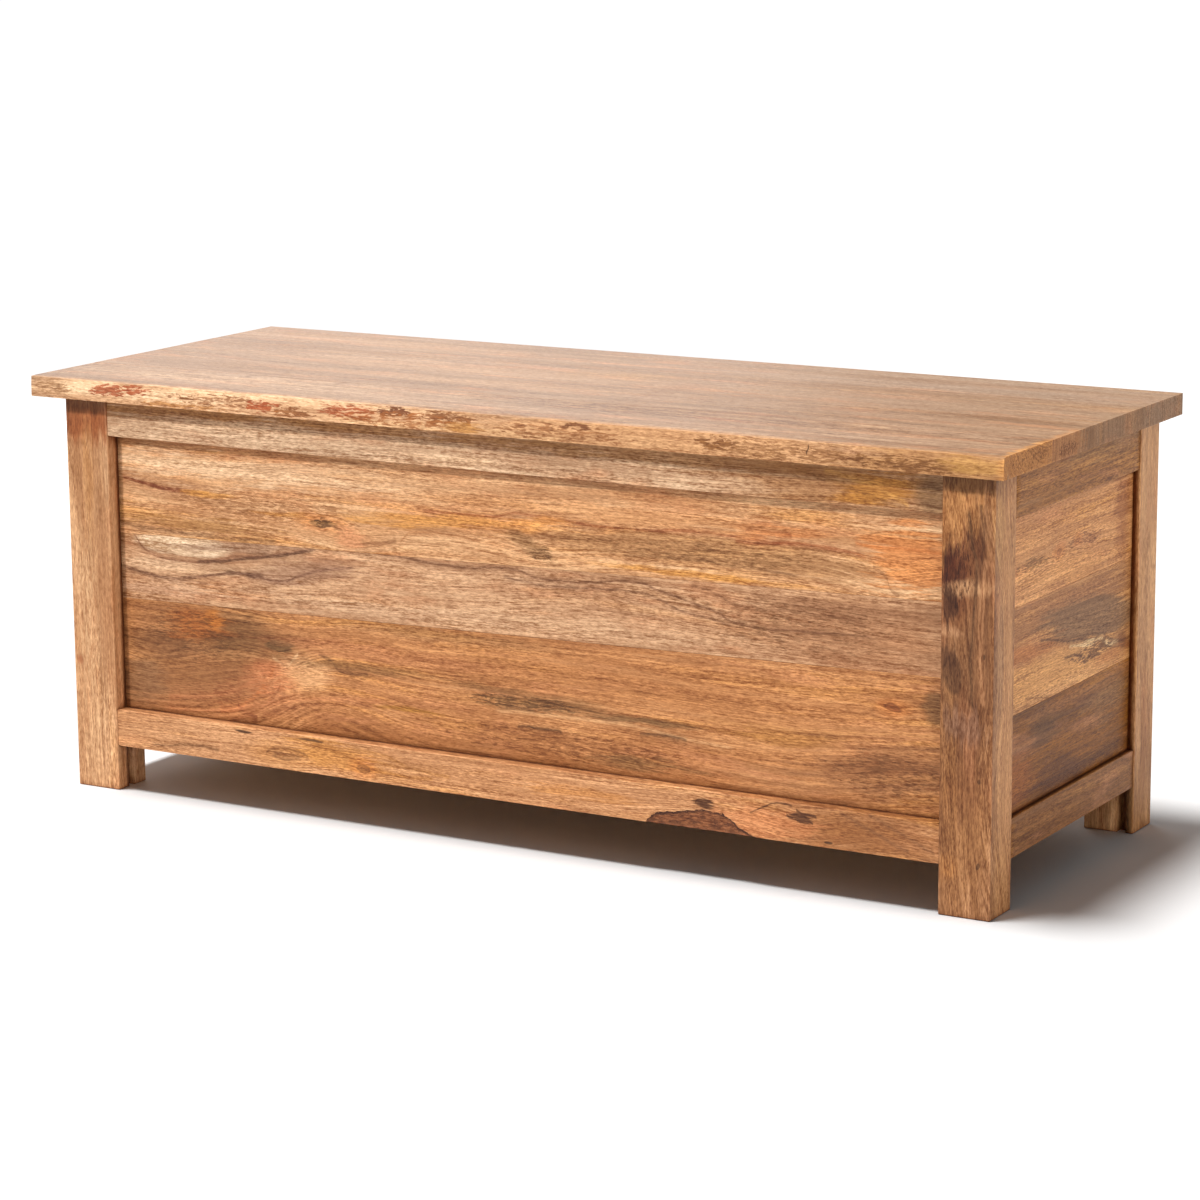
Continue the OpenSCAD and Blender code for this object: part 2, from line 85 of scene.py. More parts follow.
class Graph:
    """Short ways to add nodes to one node tree."""

    def __init__(self, tree):
        self.tree = tree

    def add(self, kind, **settings):
        node = self.tree.nodes.new(kind)
        for name, value in settings.items():
            setattr(node, name, value)
        return node

    def put(self, socket, value):
        if isinstance(value, bpy.types.NodeSocket):
            self.tree.links.new(value, socket)
        else:
            socket.default_value = value

    def math(self, operation, *values, clamp=False):
        node = self.add("ShaderNodeMath", operation=operation, use_clamp=clamp)
        for socket, value in zip(node.inputs, values):
            self.put(socket, value)
        return node.outputs[0]

    def times(self, a, b):
        return self.math("MULTIPLY", a, b)

    def minus(self, a, b):
        return self.math("SUBTRACT", a, b)

    def plus(self, a, b, clamp=False):
        return self.math("ADD", a, b, clamp=clamp)

    def scaled(self, value, factor, shift, clamp=False):
        """The value times factor, plus shift."""
        return self.math("MULTIPLY_ADD", value, factor, shift, clamp=clamp)

    def vector(self, operation, *values):
        node = self.add("ShaderNodeVectorMath", operation=operation)
        for socket, value in zip(node.inputs, values):
            self.put(socket, value)
        return node.outputs["Value" if operation in ("LENGTH", "DOT_PRODUCT") else "Vector"]

    def combine(self, *values):
        node = self.add("ShaderNodeCombineXYZ")
        for socket, value in zip(node.inputs, values):
            self.put(socket, value)
        return node.outputs[0]

    def separate(self, vector):
        node = self.add("ShaderNodeSeparateXYZ")
        self.put(node.inputs[0], vector)
        return tuple(node.outputs)

    def noise(self, vector, size, detail=2, roughness=0.5):
        """Noise from 0 to 1 whose lumps measure about size, in the vector's own units."""
        node = self.add("ShaderNodeTexNoise", noise_dimensions="3D")
        self.put(node.inputs["Vector"], self.vector("DIVIDE", vector, size))
        self.put(node.inputs["Scale"], 1.0)
        self.put(node.inputs["Detail"], float(detail))
        self.put(node.inputs["Roughness"], roughness)
        return node.outputs["Fac"]

    def step(self, value, low, high):
        """0 at low, 1 at high, smooth between. Low may be the higher number."""
        node = self.add("ShaderNodeMapRange", interpolation_type="SMOOTHSTEP")
        for name, number in (("Value", value), ("From Min", low), ("From Max", high)):
            self.put(node.inputs[name], number)
        return node.outputs["Result"]

    def swing(self, value, amount):
        """A 0 to 1 noise turned into -amount to amount."""
        return self.times(self.minus(value, 0.5), 2 * amount)

    def mix(self, factor, a, b, blend="MIX"):
        node = self.add("ShaderNodeMix", data_type="RGBA", blend_type=blend)
        for socket, value in zip((node.inputs[0], node.inputs[6], node.inputs[7]), (factor, a, b)):
            self.put(socket, value)
        return node.outputs[2]

    def tint(self, colour, by):
        """The colour multiplied by another."""
        return self.mix(1.0, colour, by, "MULTIPLY")

    def ramp(self, value, stops):
        """A colour ramp over value; stops are (place, linear colour)."""
        node = self.add("ShaderNodeValToRGB")
        node.color_ramp.interpolation = "B_SPLINE"
        while len(node.color_ramp.elements) < len(stops):
            node.color_ramp.elements.new(0.5)
        for element, (place, colour) in zip(node.color_ramp.elements, stops):
            element.position = place
            element.color = colour
        self.put(node.inputs[0], value)
        return node.outputs[0]

    def use(self, group, *values):
        """A node group with these inputs; returns its outputs."""
        node = self.add("ShaderNodeGroup", node_tree=group)
        for socket, value in zip(node.inputs, values):
            self.put(socket, value)
        return tuple(node.outputs)


def new_group(name, inputs, outputs):
    """An empty node group: its graph, its input sockets and its output sockets."""
    tree = bpy.data.node_groups.new(name, "ShaderNodeTree")
    for direction, names in (("INPUT", inputs), ("OUTPUT", outputs)):
        for socket, kind in names:
            tree.interface.new_socket(socket, in_out=direction, socket_type="NodeSocket" + kind)
    graph = Graph(tree)
    return graph, graph.add("NodeGroupInput").outputs, graph.add("NodeGroupOutput").inputs


def patch_group():
    """A soft oval in board space with ragged ends: 1 inside, 0 outside."""
    inputs = [("Board", "Vector"), ("Centre", "Vector"), ("Size", "Vector"), ("Tilt", "Float"),
              ("Soft", "Float"), ("Ragged", "Float")]
    g, given, result = new_group("Patch", inputs, [("Mask", "Float")])
    along, across, deep = g.separate(g.vector("SUBTRACT", given["Board"], given["Centre"]))
    across = g.minus(across, g.times(along, given["Tilt"]))
    scaled = g.vector("DIVIDE", g.combine(along, across, deep), given["Size"])
    reach = g.plus(g.vector("LENGTH", scaled), given["Ragged"])
    inner = g.minus(1.0, given["Soft"])
    outer = g.plus(1.0, given["Soft"])
    g.put(result["Mask"], g.step(reach, outer, inner))
    return g.tree


def knot_group():
    """A knot: bends the grain field round itself and gives its core, rings and halo."""
    inputs = [("Board", "Vector"), ("Field", "Float"), ("Centre", "Vector"), ("Size", "Vector"),
              ("Pull", "Float"), ("Ragged", "Float")]
    outputs = [("Field", "Float"), ("Core", "Float"), ("Rings", "Float"), ("Halo", "Float")]
    g, given, result = new_group("Knot", inputs, outputs)
    offset = g.vector("DIVIDE", g.vector("SUBTRACT", given["Board"], given["Centre"]), given["Size"])
    reach = g.vector("LENGTH", offset)
    spread = g.math("EXPONENT", g.times(g.math("POWER", reach, 2.0), -0.16))
    middle = g.separate(given["Centre"])[1]
    kept = g.minus(1.0, g.times(spread, given["Pull"]))
    off_centre = g.times(g.minus(given["Field"], middle), kept)
    g.put(result["Field"], g.plus(middle, off_centre))
    rough_reach = g.plus(reach, given["Ragged"])
    g.put(result["Core"], g.step(rough_reach, 1.15, 0.75))
    wave = g.math("SINE", g.times(rough_reach, 11.0))
    g.put(result["Rings"], g.scaled(wave, 0.5, 0.5))
    g.put(result["Halo"], g.step(rough_reach, 3.2, 0.9))
    return g.tree


def wear_group():
    """How near a point is to an arris of its board's box: 1 on the arris, 0 a few millimetres in."""
    inputs = [("Place", "Vector"), ("Low", "Vector"), ("High", "Vector"), ("Ragged", "Float")]
    g, given, result = new_group("Arris wear", inputs, [("Wear", "Float")])
    from_low = g.vector("SUBTRACT", given["Place"], given["Low"])
    to_high = g.vector("SUBTRACT", given["High"], given["Place"])
    a, b, c = g.separate(g.vector("MINIMUM", from_low, to_high))
    second = g.math("MAXIMUM", g.math("MINIMUM", a, b), g.math("MINIMUM", g.math("MAXIMUM", a, b), c))
    g.put(result["Wear"], g.step(g.plus(second, given["Ragged"]), 2.6, 0.5))
    return g.tree


PATCH = patch_group()
KNOT = knot_group()
WEAR = wear_group()


# ---------- Marks in the wood, placed along and across the grain in millimetres ----------

def patch(at, size, colour, strength=0.7, soft=0.5, tilt=0.0, ragged=1.6):
    """A stretch of another colour. Size is its half length, half width and half depth."""
    return dict(kind="patch", at=at, size=size, colour=colour, strength=strength, soft=soft,
                tilt=tilt, ragged=ragged)


def vein(points, width, colour, strength=0.7, halo=0.35, ragged=1.0):
    """A dark or golden line through these points, which run along the grain."""
    return dict(kind="vein", points=points, width=width, colour=colour, strength=strength, halo=halo,
                ragged=ragged)


def flecks(at, size, colour, strength=0.7, share=0.5):
    """Fine broken lines of another colour, thinning out towards the rim of an oval."""
    return dict(kind="flecks", at=at, size=size, colour=colour, strength=strength, share=share)


def sweep(at, size, lift):
    """Grain that climbs over a place by lift, or dips under it where lift is negative."""
    return dict(kind="sweep", at=at, size=size, lift=lift)


def bark(top, colour, rim):
    """Bark left in the lower edge, up to a line through the top's points, with a dark rim."""
    return dict(kind="bark", points=top, colour=colour, rim=rim)


def knot(at, size, colour=BROWN, strength=0.8, pull=0.75, glow=ORANGE, glow_strength=0.35):
    """A knot that the grain flows round."""
    return dict(kind="knot", at=at, size=size, colour=colour, strength=strength, pull=pull,
                glow=glow, glow_strength=glow_strength)


FAR = 4000.0
FACE_VEIN_FADE = 0.04
FLECK_EDGE = 0.05


def deep(values, through=0.0):
    """Two numbers, along and across, made three. A size of FAR goes right through the board."""
    return (*values, through) if len(values) == 2 else tuple(values)


def add_patch(g, colour, board, ragged, mark):
    rough = g.times(ragged, mark["ragged"])
    mask = g.use(PATCH, board, deep(mark["at"]), deep(mark["size"], FAR), mark["tilt"],
                 mark["soft"], rough)[0]
    share = g.times(mask, mark["strength"])
    return g.mix(share, colour, linear(mark["colour"]))


def add_curve(g, along, points):
    """A curve from the distance along the grain to the place across it, and how far along it is."""
    starts, places = zip(*points)
    first, last = min(starts), max(starts)
    lowest, highest = min(places) - 1, max(places) + 1
    share = g.math("DIVIDE", g.minus(along, first), last - first)
    curve = g.add("ShaderNodeFloatCurve")
    line = curve.mapping.curves[0]
    while len(line.points) < len(points):
        line.points.new(0.5, 0.5)
    for point, (u, v) in zip(line.points, sorted(points)):
        point.location = ((u - first) / (last - first), (v - lowest) / (highest - lowest))
    curve.mapping.update()
    g.put(curve.inputs["Value"], share)
    return g.scaled(curve.outputs[0], highest - lowest, lowest), share


def add_vein(g, colour, along, across, waver, ragged, grain, mark):
    middle, share = add_curve(g, along, mark["points"])
    middle = g.scaled(waver, 2.6 * mark["ragged"], middle)
    off = g.math("ABSOLUTE", g.minus(across, middle))
    half = g.scaled(ragged, mark["width"] * 1.1, mark["width"])
    core = g.step(g.math("DIVIDE", off, g.math("MAXIMUM", half, 0.4)), 1.7, 0.4)
    halo = g.times(g.step(off, mark["width"] * 6, 0.0), mark["halo"])
    ends = g.times(g.step(share, 0.0, FACE_VEIN_FADE), g.step(share, 1.0, 1 - FACE_VEIN_FADE))
    mask = g.times(g.math("MAXIMUM", core, halo), ends)
    mask = g.times(mask, g.scaled(g.step(grain, 0.70, 0.45), 0.3, 0.7))
    return g.mix(g.times(mask, mark["strength"]), colour, linear(mark["colour"]))


def add_flecks(g, colour, board, streaks, mark):
    oval = g.use(PATCH, board, deep(mark["at"]), deep(mark["size"], FAR), 0.0, 0.6, 0.0)[0]
    kept = g.minus(1.0, g.times(oval, 1 - mark["share"]))
    mask = g.step(g.minus(streaks, kept), 0.0, FLECK_EDGE)
    return g.mix(g.times(mask, mark["strength"]), colour, linear(mark["colour"]))


def add_bark(g, colour, along, across, crumbled, mark):
    top, _ = add_curve(g, along, mark["points"])
    below = g.minus(g.plus(crumbled, top), across)
    colour = g.mix(g.step(below, 0.0, 0.7), colour, linear(mark["rim"]))
    inner = g.mix(g.step(crumbled, -1.0, 1.2), linear(mark["colour"]), linear(BARK))
    return g.mix(g.step(below, 1.2, 3.4), colour, inner)


def add_sweep(g, board, field, mark):
    offset = g.vector("DIVIDE", g.vector("SUBTRACT", board, deep(mark["at"])), deep(mark["size"], FAR))
    reach = g.vector("LENGTH", offset)
    spread = g.math("EXPONENT", g.times(g.math("POWER", reach, 2.0), -1.0))
    return g.scaled(spread, -float(mark["lift"]), field)


def add_knot(g, colour, knot_outputs, mark):
    _, core, rings, halo = knot_outputs
    glow = g.times(halo, mark["glow_strength"])
    colour = g.mix(glow, colour, linear(mark["glow"]))
    heart = g.mix(g.times(rings, 0.45), linear(mark["colour"]), linear(UMBER))
    return g.mix(g.times(core, mark["strength"]), colour, heart)


# ---------- Materials ----------

PORE_COLOUR = (0.50, 0.38, 0.27, 1)
DARK_GRAIN = (0.50, 0.37, 0.26, 1)
LIGHT_GRAIN = (1.42, 1.54, 1.62, 1)
RING_STEP = 0.055
RING_LINE = 0.013
WARP = (14.0, 8.0, 8.0)
OIL = (0.81, 0.765, 0.69, 1)
# Painted shade: the tint and reach of the darkening put into crevices and recesses.
PAINTED_CREVICE_SHADE = (0.46, 0.32, 0.21, 1)
PAINTED_SHADE_REACH = 11.0
END_GRAIN = (0.80, 0.71, 0.62, 1)
WORN = (1.16, 1.17, 1.18, 1)


def blank_material(name):
    """A material with an empty node graph, the texture coordinates, and the place in millimetres."""
    material = bpy.data.materials.new(name)
    material.use_nodes = True
    material.node_tree.nodes.clear()
    g = Graph(material.node_tree)
    coords = g.add("ShaderNodeTexCoord")
    place = g.vector("SCALE", coords.outputs["Object"])
    place.node.inputs["Scale"].default_value = 1 / MM
    return material, g, coords, place


def finish_surface(g, colour, rough, height, strength, depth, **plain):
    """The shader and its bump, whose depth is in millimetres. Plain values go on the shader itself."""
    bump = g.add("ShaderNodeBump")
    for name, value in (("Strength", strength), ("Distance", depth * MM), ("Height", height)):
        g.put(bump.inputs[name], value)
    shader = g.add("ShaderNodeBsdfPrincipled")
    inputs = {"Base Color": colour, "Roughness": rough, "Normal": bump.outputs[0], **plain}
    for name, value in inputs.items():
        g.put(shader.inputs[name], value)
    g.put(g.add("ShaderNodeOutputMaterial").inputs["Surface"], shader.outputs[0])


def wood(node, axes, tones, pith, lean=0.02, wander=7.0, gold=0.35, grey=0.25, grain=1.0,
         ripple=0.6, marks=(), seed=0.0):
    """The wood of one part. Axes name the ways along, across and through the board; tones are its
    dark, middle and light colours; pith is where the tree's heart lies, across and through, and
    lean is how fast it slants along the board."""
    material, g, coords, place = blank_material(node + "_wood")
    named = dict(zip("xyz", g.separate(place)))
    along, across, through = (named[a] for a in axes)
    board = g.combine(along, across, through)
    own = g.vector("ADD", board, (seed * 1310.0, seed * 470.0, seed * 290.0))

    # Grain: rings round the tree's heart, wandering slowly and bent round the knots
    stretch = g.noise(own, (430.0, 80.0, 80.0), 2)
    ragged = g.swing(g.noise(own, (52.0, 6.0, 6.0), 4, 0.68), 0.9)
    warp = g.add("ShaderNodeTexNoise", noise_dimensions="3D")
    g.put(warp.inputs["Vector"], g.vector("DIVIDE", own, (34.0, 16.0, 16.0)))
    g.put(warp.inputs["Scale"], 1.0)
    shift = g.vector("MULTIPLY", g.vector("SUBTRACT", warp.outputs["Color"], (0.5, 0.5, 0.5)), WARP)
    loose = g.vector("ADD", board, shift)
    field = g.plus(across, g.swing(stretch, wander))
    bent = {}
    for number, mark in enumerate(marks):
        if mark["kind"] == "knot":
            bent[number] = g.use(KNOT, loose, field, deep(mark["at"]), deep(mark["size"], FAR),
                                 mark["pull"], ragged)
            field = bent[number][0]
        elif mark["kind"] == "sweep":
            field = add_sweep(g, board, field, mark)
    heart = g.scaled(along, lean, g.minus(through, pith[1]))
    ring = g.math("SQRT", g.plus(g.math("POWER", g.minus(field, pith[0]), 2.0),
                                 g.math("POWER", heart, 2.0)))
    lines = g.combine(along, ring, seed * 97.0)
    broad = g.noise(lines, (330.0, 21.0, 30.0), 2, 0.55)
    streak = g.noise(lines, (210.0, 4.4, 30.0), 4, 0.62)
    growth = g.noise(lines, (290.0, 11.0, 30.0), 4, 0.5)
    fine = g.noise(lines, (64.0, 1.5, 30.0), 3, 0.66)
    speck = g.noise(own, (7.0, 1.4, 1.4), 2, 0.7)
    torn = g.plus(ragged, g.swing(streak, 0.7))
    waver = g.swing(g.noise(g.combine(along, seed * 61.0, 0.0), (30.0, 1.0, 1.0), 3), 1.0)
    crumbled = g.swing(g.noise(own, (8.0, 4.0, 4.0), 3, 0.65), 5.0)
    splinters = g.noise(g.vector("ADD", own, shift), (13.0, 2.1, 2.1), 4, 0.66)
    hue = g.noise(lines, (210.0, 15.0, 77.0), 3, 0.6)
    cloud = g.noise(g.vector("ADD", own, shift), (110.0, 24.0, 24.0), 3, 0.6)
    fibre = g.noise(own, (8.0, 0.5, 0.5), 1)
    pores = g.noise(own, (4.5, 0.5, 0.5), 0)
    mottle = g.noise(own, (9.0, 5.0, 5.0), 2, 0.6)

    # Base colour, calmer on end grain, then golden and grey stretches, then the named marks
    facing = dict(zip("xyz", g.separate(coords.outputs["Normal"])))[axes[0]]
    end = g.step(g.math("ABSOLUTE", facing), 0.6, 0.9)
    tone = g.plus(g.scaled(g.minus(broad, 0.5), 1.5, 0.5),
                  g.swing(streak, 0.25))
    tone = g.plus(tone, g.swing(cloud, 0.6), clamp=True)
    tone = g.scaled(g.minus(0.5, tone), g.times(end, 0.7), tone)
    dark, middle, light = (linear(c) for c in tones)
    colour = g.ramp(tone, [(0.12, dark), (0.5, middle), (0.88, light)])
    colour = g.mix(g.times(g.step(hue, 0.52, 0.70), gold), colour, linear(GOLD))
    colour = g.mix(g.times(g.step(hue, 0.46, 0.30), grey), colour, linear(GREYED))
    colour = g.mix(g.times(g.step(cloud, 0.50, 0.30), 0.28), colour, linear(SALMON))
    for number, mark in enumerate(marks):
        if mark["kind"] == "patch":
            colour = add_patch(g, colour, loose, torn, mark)
        elif mark["kind"] == "vein":
            colour = add_vein(g, colour, along, across, waver, ragged, speck, mark)
        elif mark["kind"] == "flecks":
            colour = add_flecks(g, colour, board, splinters, mark)
        elif mark["kind"] == "bark":
            colour = add_bark(g, colour, along, across, crumbled, mark)
        elif mark["kind"] == "knot":
            colour = add_knot(g, colour, bent[number], mark)

    # Fine grain over everything
    grainy = g.plus(g.swing(streak, 0.45 * grain), g.swing(fine, 0.8 * grain))
    grainy = g.plus(grainy, g.swing(speck, 1.0 * grain))
    grainy = g.plus(grainy, g.swing(fibre, 0.3 * grain))
    grainy = g.plus(grainy, g.swing(mottle, 0.3 * ripple))
    busy = g.scaled(g.step(hue, 0.36, 0.62), 0.55, 0.65)
    grainy = g.scaled(grainy, busy, 0.5, clamp=True)
    colour = g.tint(colour, g.mix(grainy, DARK_GRAIN, LIGHT_GRAIN))
    colour = g.tint(colour, OIL)
    ring_line = g.step(g.math("PINGPONG", growth, RING_STEP), RING_LINE, 0.0)
    ring_line = g.times(ring_line, g.scaled(g.step(cloud, 0.35, 0.60), 0.35, 0.12))
    colour = g.mix(ring_line, colour, g.tint(colour, PORE_COLOUR))
    pore = g.step(pores, 0.62, 0.74)
    colour = g.mix(g.times(pore, 0.4), colour, g.tint(colour, PORE_COLOUR))

    # End grain, arrises rubbed lighter, and painted shade in crevices
    colour = g.mix(end, colour, g.tint(colour, END_GRAIN))
    low, high = (tuple(c / MM for c in corner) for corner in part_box(node))
    wear = g.use(WEAR, place, low, high, g.times(ragged, 3.0))[0]
    colour = g.mix(g.times(wear, 0.7), colour, g.tint(colour, WORN))

    # Painted shade: the colour is darkened where nearby parts hem a point in, such as under rails and
    # beside legs, in place of shadow.
    shade_occlusion = g.add("ShaderNodeAmbientOcclusion", samples=6)
    g.put(shade_occlusion.inputs["Distance"], PAINTED_SHADE_REACH * MM)
    unshaded = g.step(g.plus(shade_occlusion.outputs["AO"], g.swing(streak, 0.14)), 0.38, 0.78)
    colour = g.mix(unshaded, g.tint(colour, PAINTED_CREVICE_SHADE), colour)

    rough = g.plus(0.50, g.swing(fine, 0.07))
    rough = g.plus(rough, g.times(pore, 0.12))
    rough = g.plus(rough, g.times(end, 0.14), clamp=True)
    height = g.plus(g.times(fibre, 0.5), g.times(fine, 0.5))
    height = g.minus(height, g.times(pore, 0.6))
    finish_surface(g, colour, rough, height, 0.45, 0.25, IOR=1.34)
    return material


def metal(name, clean, tarnished, roughness, scratch):
    """A metal that is rubbed bright in places and tarnished in others, with fine scratches."""
    material, g, _, place = blank_material(name)
    cloud = g.noise(place, (46.0, 46.0, 46.0), 3, 0.5)
    speck = g.noise(place, (0.9, 0.9, 0.9), 2)
    brushed = g.noise(place, (14.0, 0.25, 0.25), 2)
    age = g.plus(g.times(g.step(cloud, 0.35, 0.70), 0.55), g.swing(speck, 0.22), clamp=True)
    colour = g.mix(age, linear(clean), linear(tarnished))
    rough = g.scaled(age, 0.2, g.scaled(brushed, scratch, roughness))
    height = g.plus(g.times(brushed, 0.6), g.times(speck, 0.4))
    finish_surface(g, colour, rough, height, 0.25, 0.06, Metallic=1.0)
    return material


# ---------- Meshes ----------

WELD = 0.002 * MM
FLAT = math.radians(0.5)
CREASE = math.radians(40)
CORNER = math.radians(60)
NEAR = 0.02 * MM
METAL_EASE = 0.18 * MM
CELL = 24.0
SAG = 0.14


def on_outer_planes(edge, low, high):
    """On how many of the six planes of the part's box the edge lies."""
    found = 0
    for axis in range(3):
        for plane in (low[axis], high[axis]):
            if all(abs(v.co[axis] - plane) < NEAR for v in edge.verts):
                found += 1
    return found


def steps(low, high, spacing):
    """Even places between low and high, about spacing apart."""
    count = max(1, round((high - low) / spacing))
    return [low + (high - low) * i / count for i in range(1, count)]


def slice_at(solid, axis, places):
    """Cuts the faces of a solid along planes across an axis. Places are in millimetres."""
    normal = Vector([1.0 if i == axis else 0.0 for i in range(3)])
    for place in places:
        bmesh.ops.bisect_plane(solid, geom=solid.verts[:] + solid.edges[:] + solid.faces[:],
                               dist=0.5 * WELD, plane_co=normal * place * MM, plane_no=normal)


def planed_solid(node, arris, whole_edges, extra):
    """The CAD solid of a node with flat faces made whole, arrises eased and faces cut into cells."""
    solid = bmesh.new()
    solid.from_mesh(frame["nodes"][node].data)
    bmesh.ops.remove_doubles(solid, verts=solid.verts, dist=WELD)
    bmesh.ops.dissolve_limit(solid, angle_limit=FLAT, verts=solid.verts, edges=solid.edges)
    low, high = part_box(node)
    needed = 2 if whole_edges else 1
    eased = [e for e in solid.edges if e.is_manifold and e.is_convex
             and e.calc_face_angle(0) > CORNER and on_outer_planes(e, low, high) >= needed]
    bmesh.ops.bevel(solid, geom=eased, offset=arris * MM, segments=3, profile=0.6, affect="EDGES",
                    clamp_overlap=True)
    size = high - low
    longest = max(range(3), key=lambda axis: size[axis])
    for axis in range(3):
        spacing = CELL if axis == longest else CELL / 2
        slice_at(solid, axis, steps(low[axis] / MM, high[axis] / MM, spacing))
        slice_at(solid, axis, extra.get("xyz"[axis], ()))
    return solid


def wave(place, length, seed):
    """Smooth noise from -1 to 1 along a line, with lumps about length long."""
    return noise.noise(Vector((place / length, seed, 0.5)))


def uneven(point, seed):
    """How far a planed face lies below true at a point, in millimetres: 0 to SAG."""
    lumps = noise.noise(Vector(point) / 85.0 + Vector((seed, seed * 2.0, 0)))
    return SAG * (0.5 + 0.5 * max(-1.0, min(1.0, lumps * 1.6)))


def wood_piece(node, material, arris=1.2, whole_edges=True, extra=None, shape=None, seed=0.0):
    """The finished wooden part that stands for a CAD node. Shape moves points, in millimetres."""
    solid = planed_solid(node, arris, whole_edges, extra or {})
    solid.normal_update()
    moves = []
    for vert in solid.verts:
        point = vert.co / MM
        move = -vert.normal * uneven(point, seed)
        if shape:
            move = move + Vector(shape(point, vert.normal))
        moves.append((vert, move * MM))
    for vert, move in moves:
        vert.co += move
    mesh = bpy.data.meshes.new(node + "_planed")
    solid.to_mesh(mesh)
    solid.free()
    for polygon in mesh.polygons:
        polygon.use_smooth = True
    mesh.set_sharp_from_angle(angle=CREASE)
    piece = bpy.data.objects.new(node + "_planed", mesh)
    bpy.context.scene.collection.objects.link(piece)
    mesh.materials.append(material)
    weighted = piece.modifiers.new("flat faces stay flat", "WEIGHTED_NORMAL")
    weighted.keep_sharp = True
    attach(piece, BODY_OF[node])
    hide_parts(node)
    return piece


def blend_step(value, low, high):
    """0 below low, 1 above high, smooth between."""
    share = max(0.0, min(1.0, (value - low) / (high - low)))
    return share * share * (3 - 2 * share)


# ---------- Parts with a shape of their own ----------

lid_low, lid_high = (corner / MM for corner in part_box("lid_board_front"))
WANE_DEPTH = 13.0
WANE_DROP = 15.0


def waney_edge(point, normal):
    """The lid's front arris was the edge of the tree: it dips and rounds over unevenly."""
    near = 1 - blend_step(point.y - lid_low.y, 0.0, WANE_DEPTH)
    upper = blend_step(point.z, lid_high.z - WANE_DROP, lid_high.z)
    dip = 0.7 + 1.5 * abs(wave(point.x, 46.0, 3.1)) + 1.3 * max(0.0, wave(point.x, 17.0, 8.2))
    dip += 1.2 * max(0.0, wave(point.x, 150.0, 5.5))
    inwards = dip * upper ** 2 * near
    down = 0.55 * dip * near ** 2 * upper
    rough = 0.35 * max(0.0, noise.noise(point / 6.0)) * near ** 3
    return (0.0, inwards + rough, -down)


BARK_TOP = ((166, 49), (172, 56), (182, 61), (200, 64), (216, 68), (236, 70), (258, 66), (268, 59),
            (280, 53), (290, 49))
BARK_DEPTH = 2.2
rail_low, rail_high = (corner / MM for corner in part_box("front_bottom_rail"))


def bark_height(x):
    """Top of the bark pocket at x, as a line through its few points."""
    for (x0, z0), (x1, z1) in zip(BARK_TOP, BARK_TOP[1:]):
        if x0 <= x <= x1:
            return z0 + (z1 - z0) * (x - x0) / (x1 - x0)
    return BARK_TOP[0][1]


def bark_pocket(point, normal):
    """Bark was left in the rail's lower edge: a shallow rough hollow in its face."""
    if point.y > rail_low.y + 4 or not BARK_TOP[0][0] < point.x < BARK_TOP[-1][0]:
        return (0.0, 0.0, 0.0)
    inside = blend_step(bark_height(point.x) + 1.5 * wave(point.x, 7.0, 1.0) - point.z, 0.0, 3.0)
    lumps = 0.75 + 0.6 * noise.noise(point / 7.0)
    return (0.0, BARK_DEPTH * inside * max(0.25, lumps), 0.0)


# ---------- The bench ----------

LID_TONES = ("93735a", "a38268", "b49278")
INNER_TONES = ("be8e60", "d4a676", "e6bc8e")
EDGE_RED = "b05832"
EDGE_BROWN = "92582e"
SPALT = "603a22"

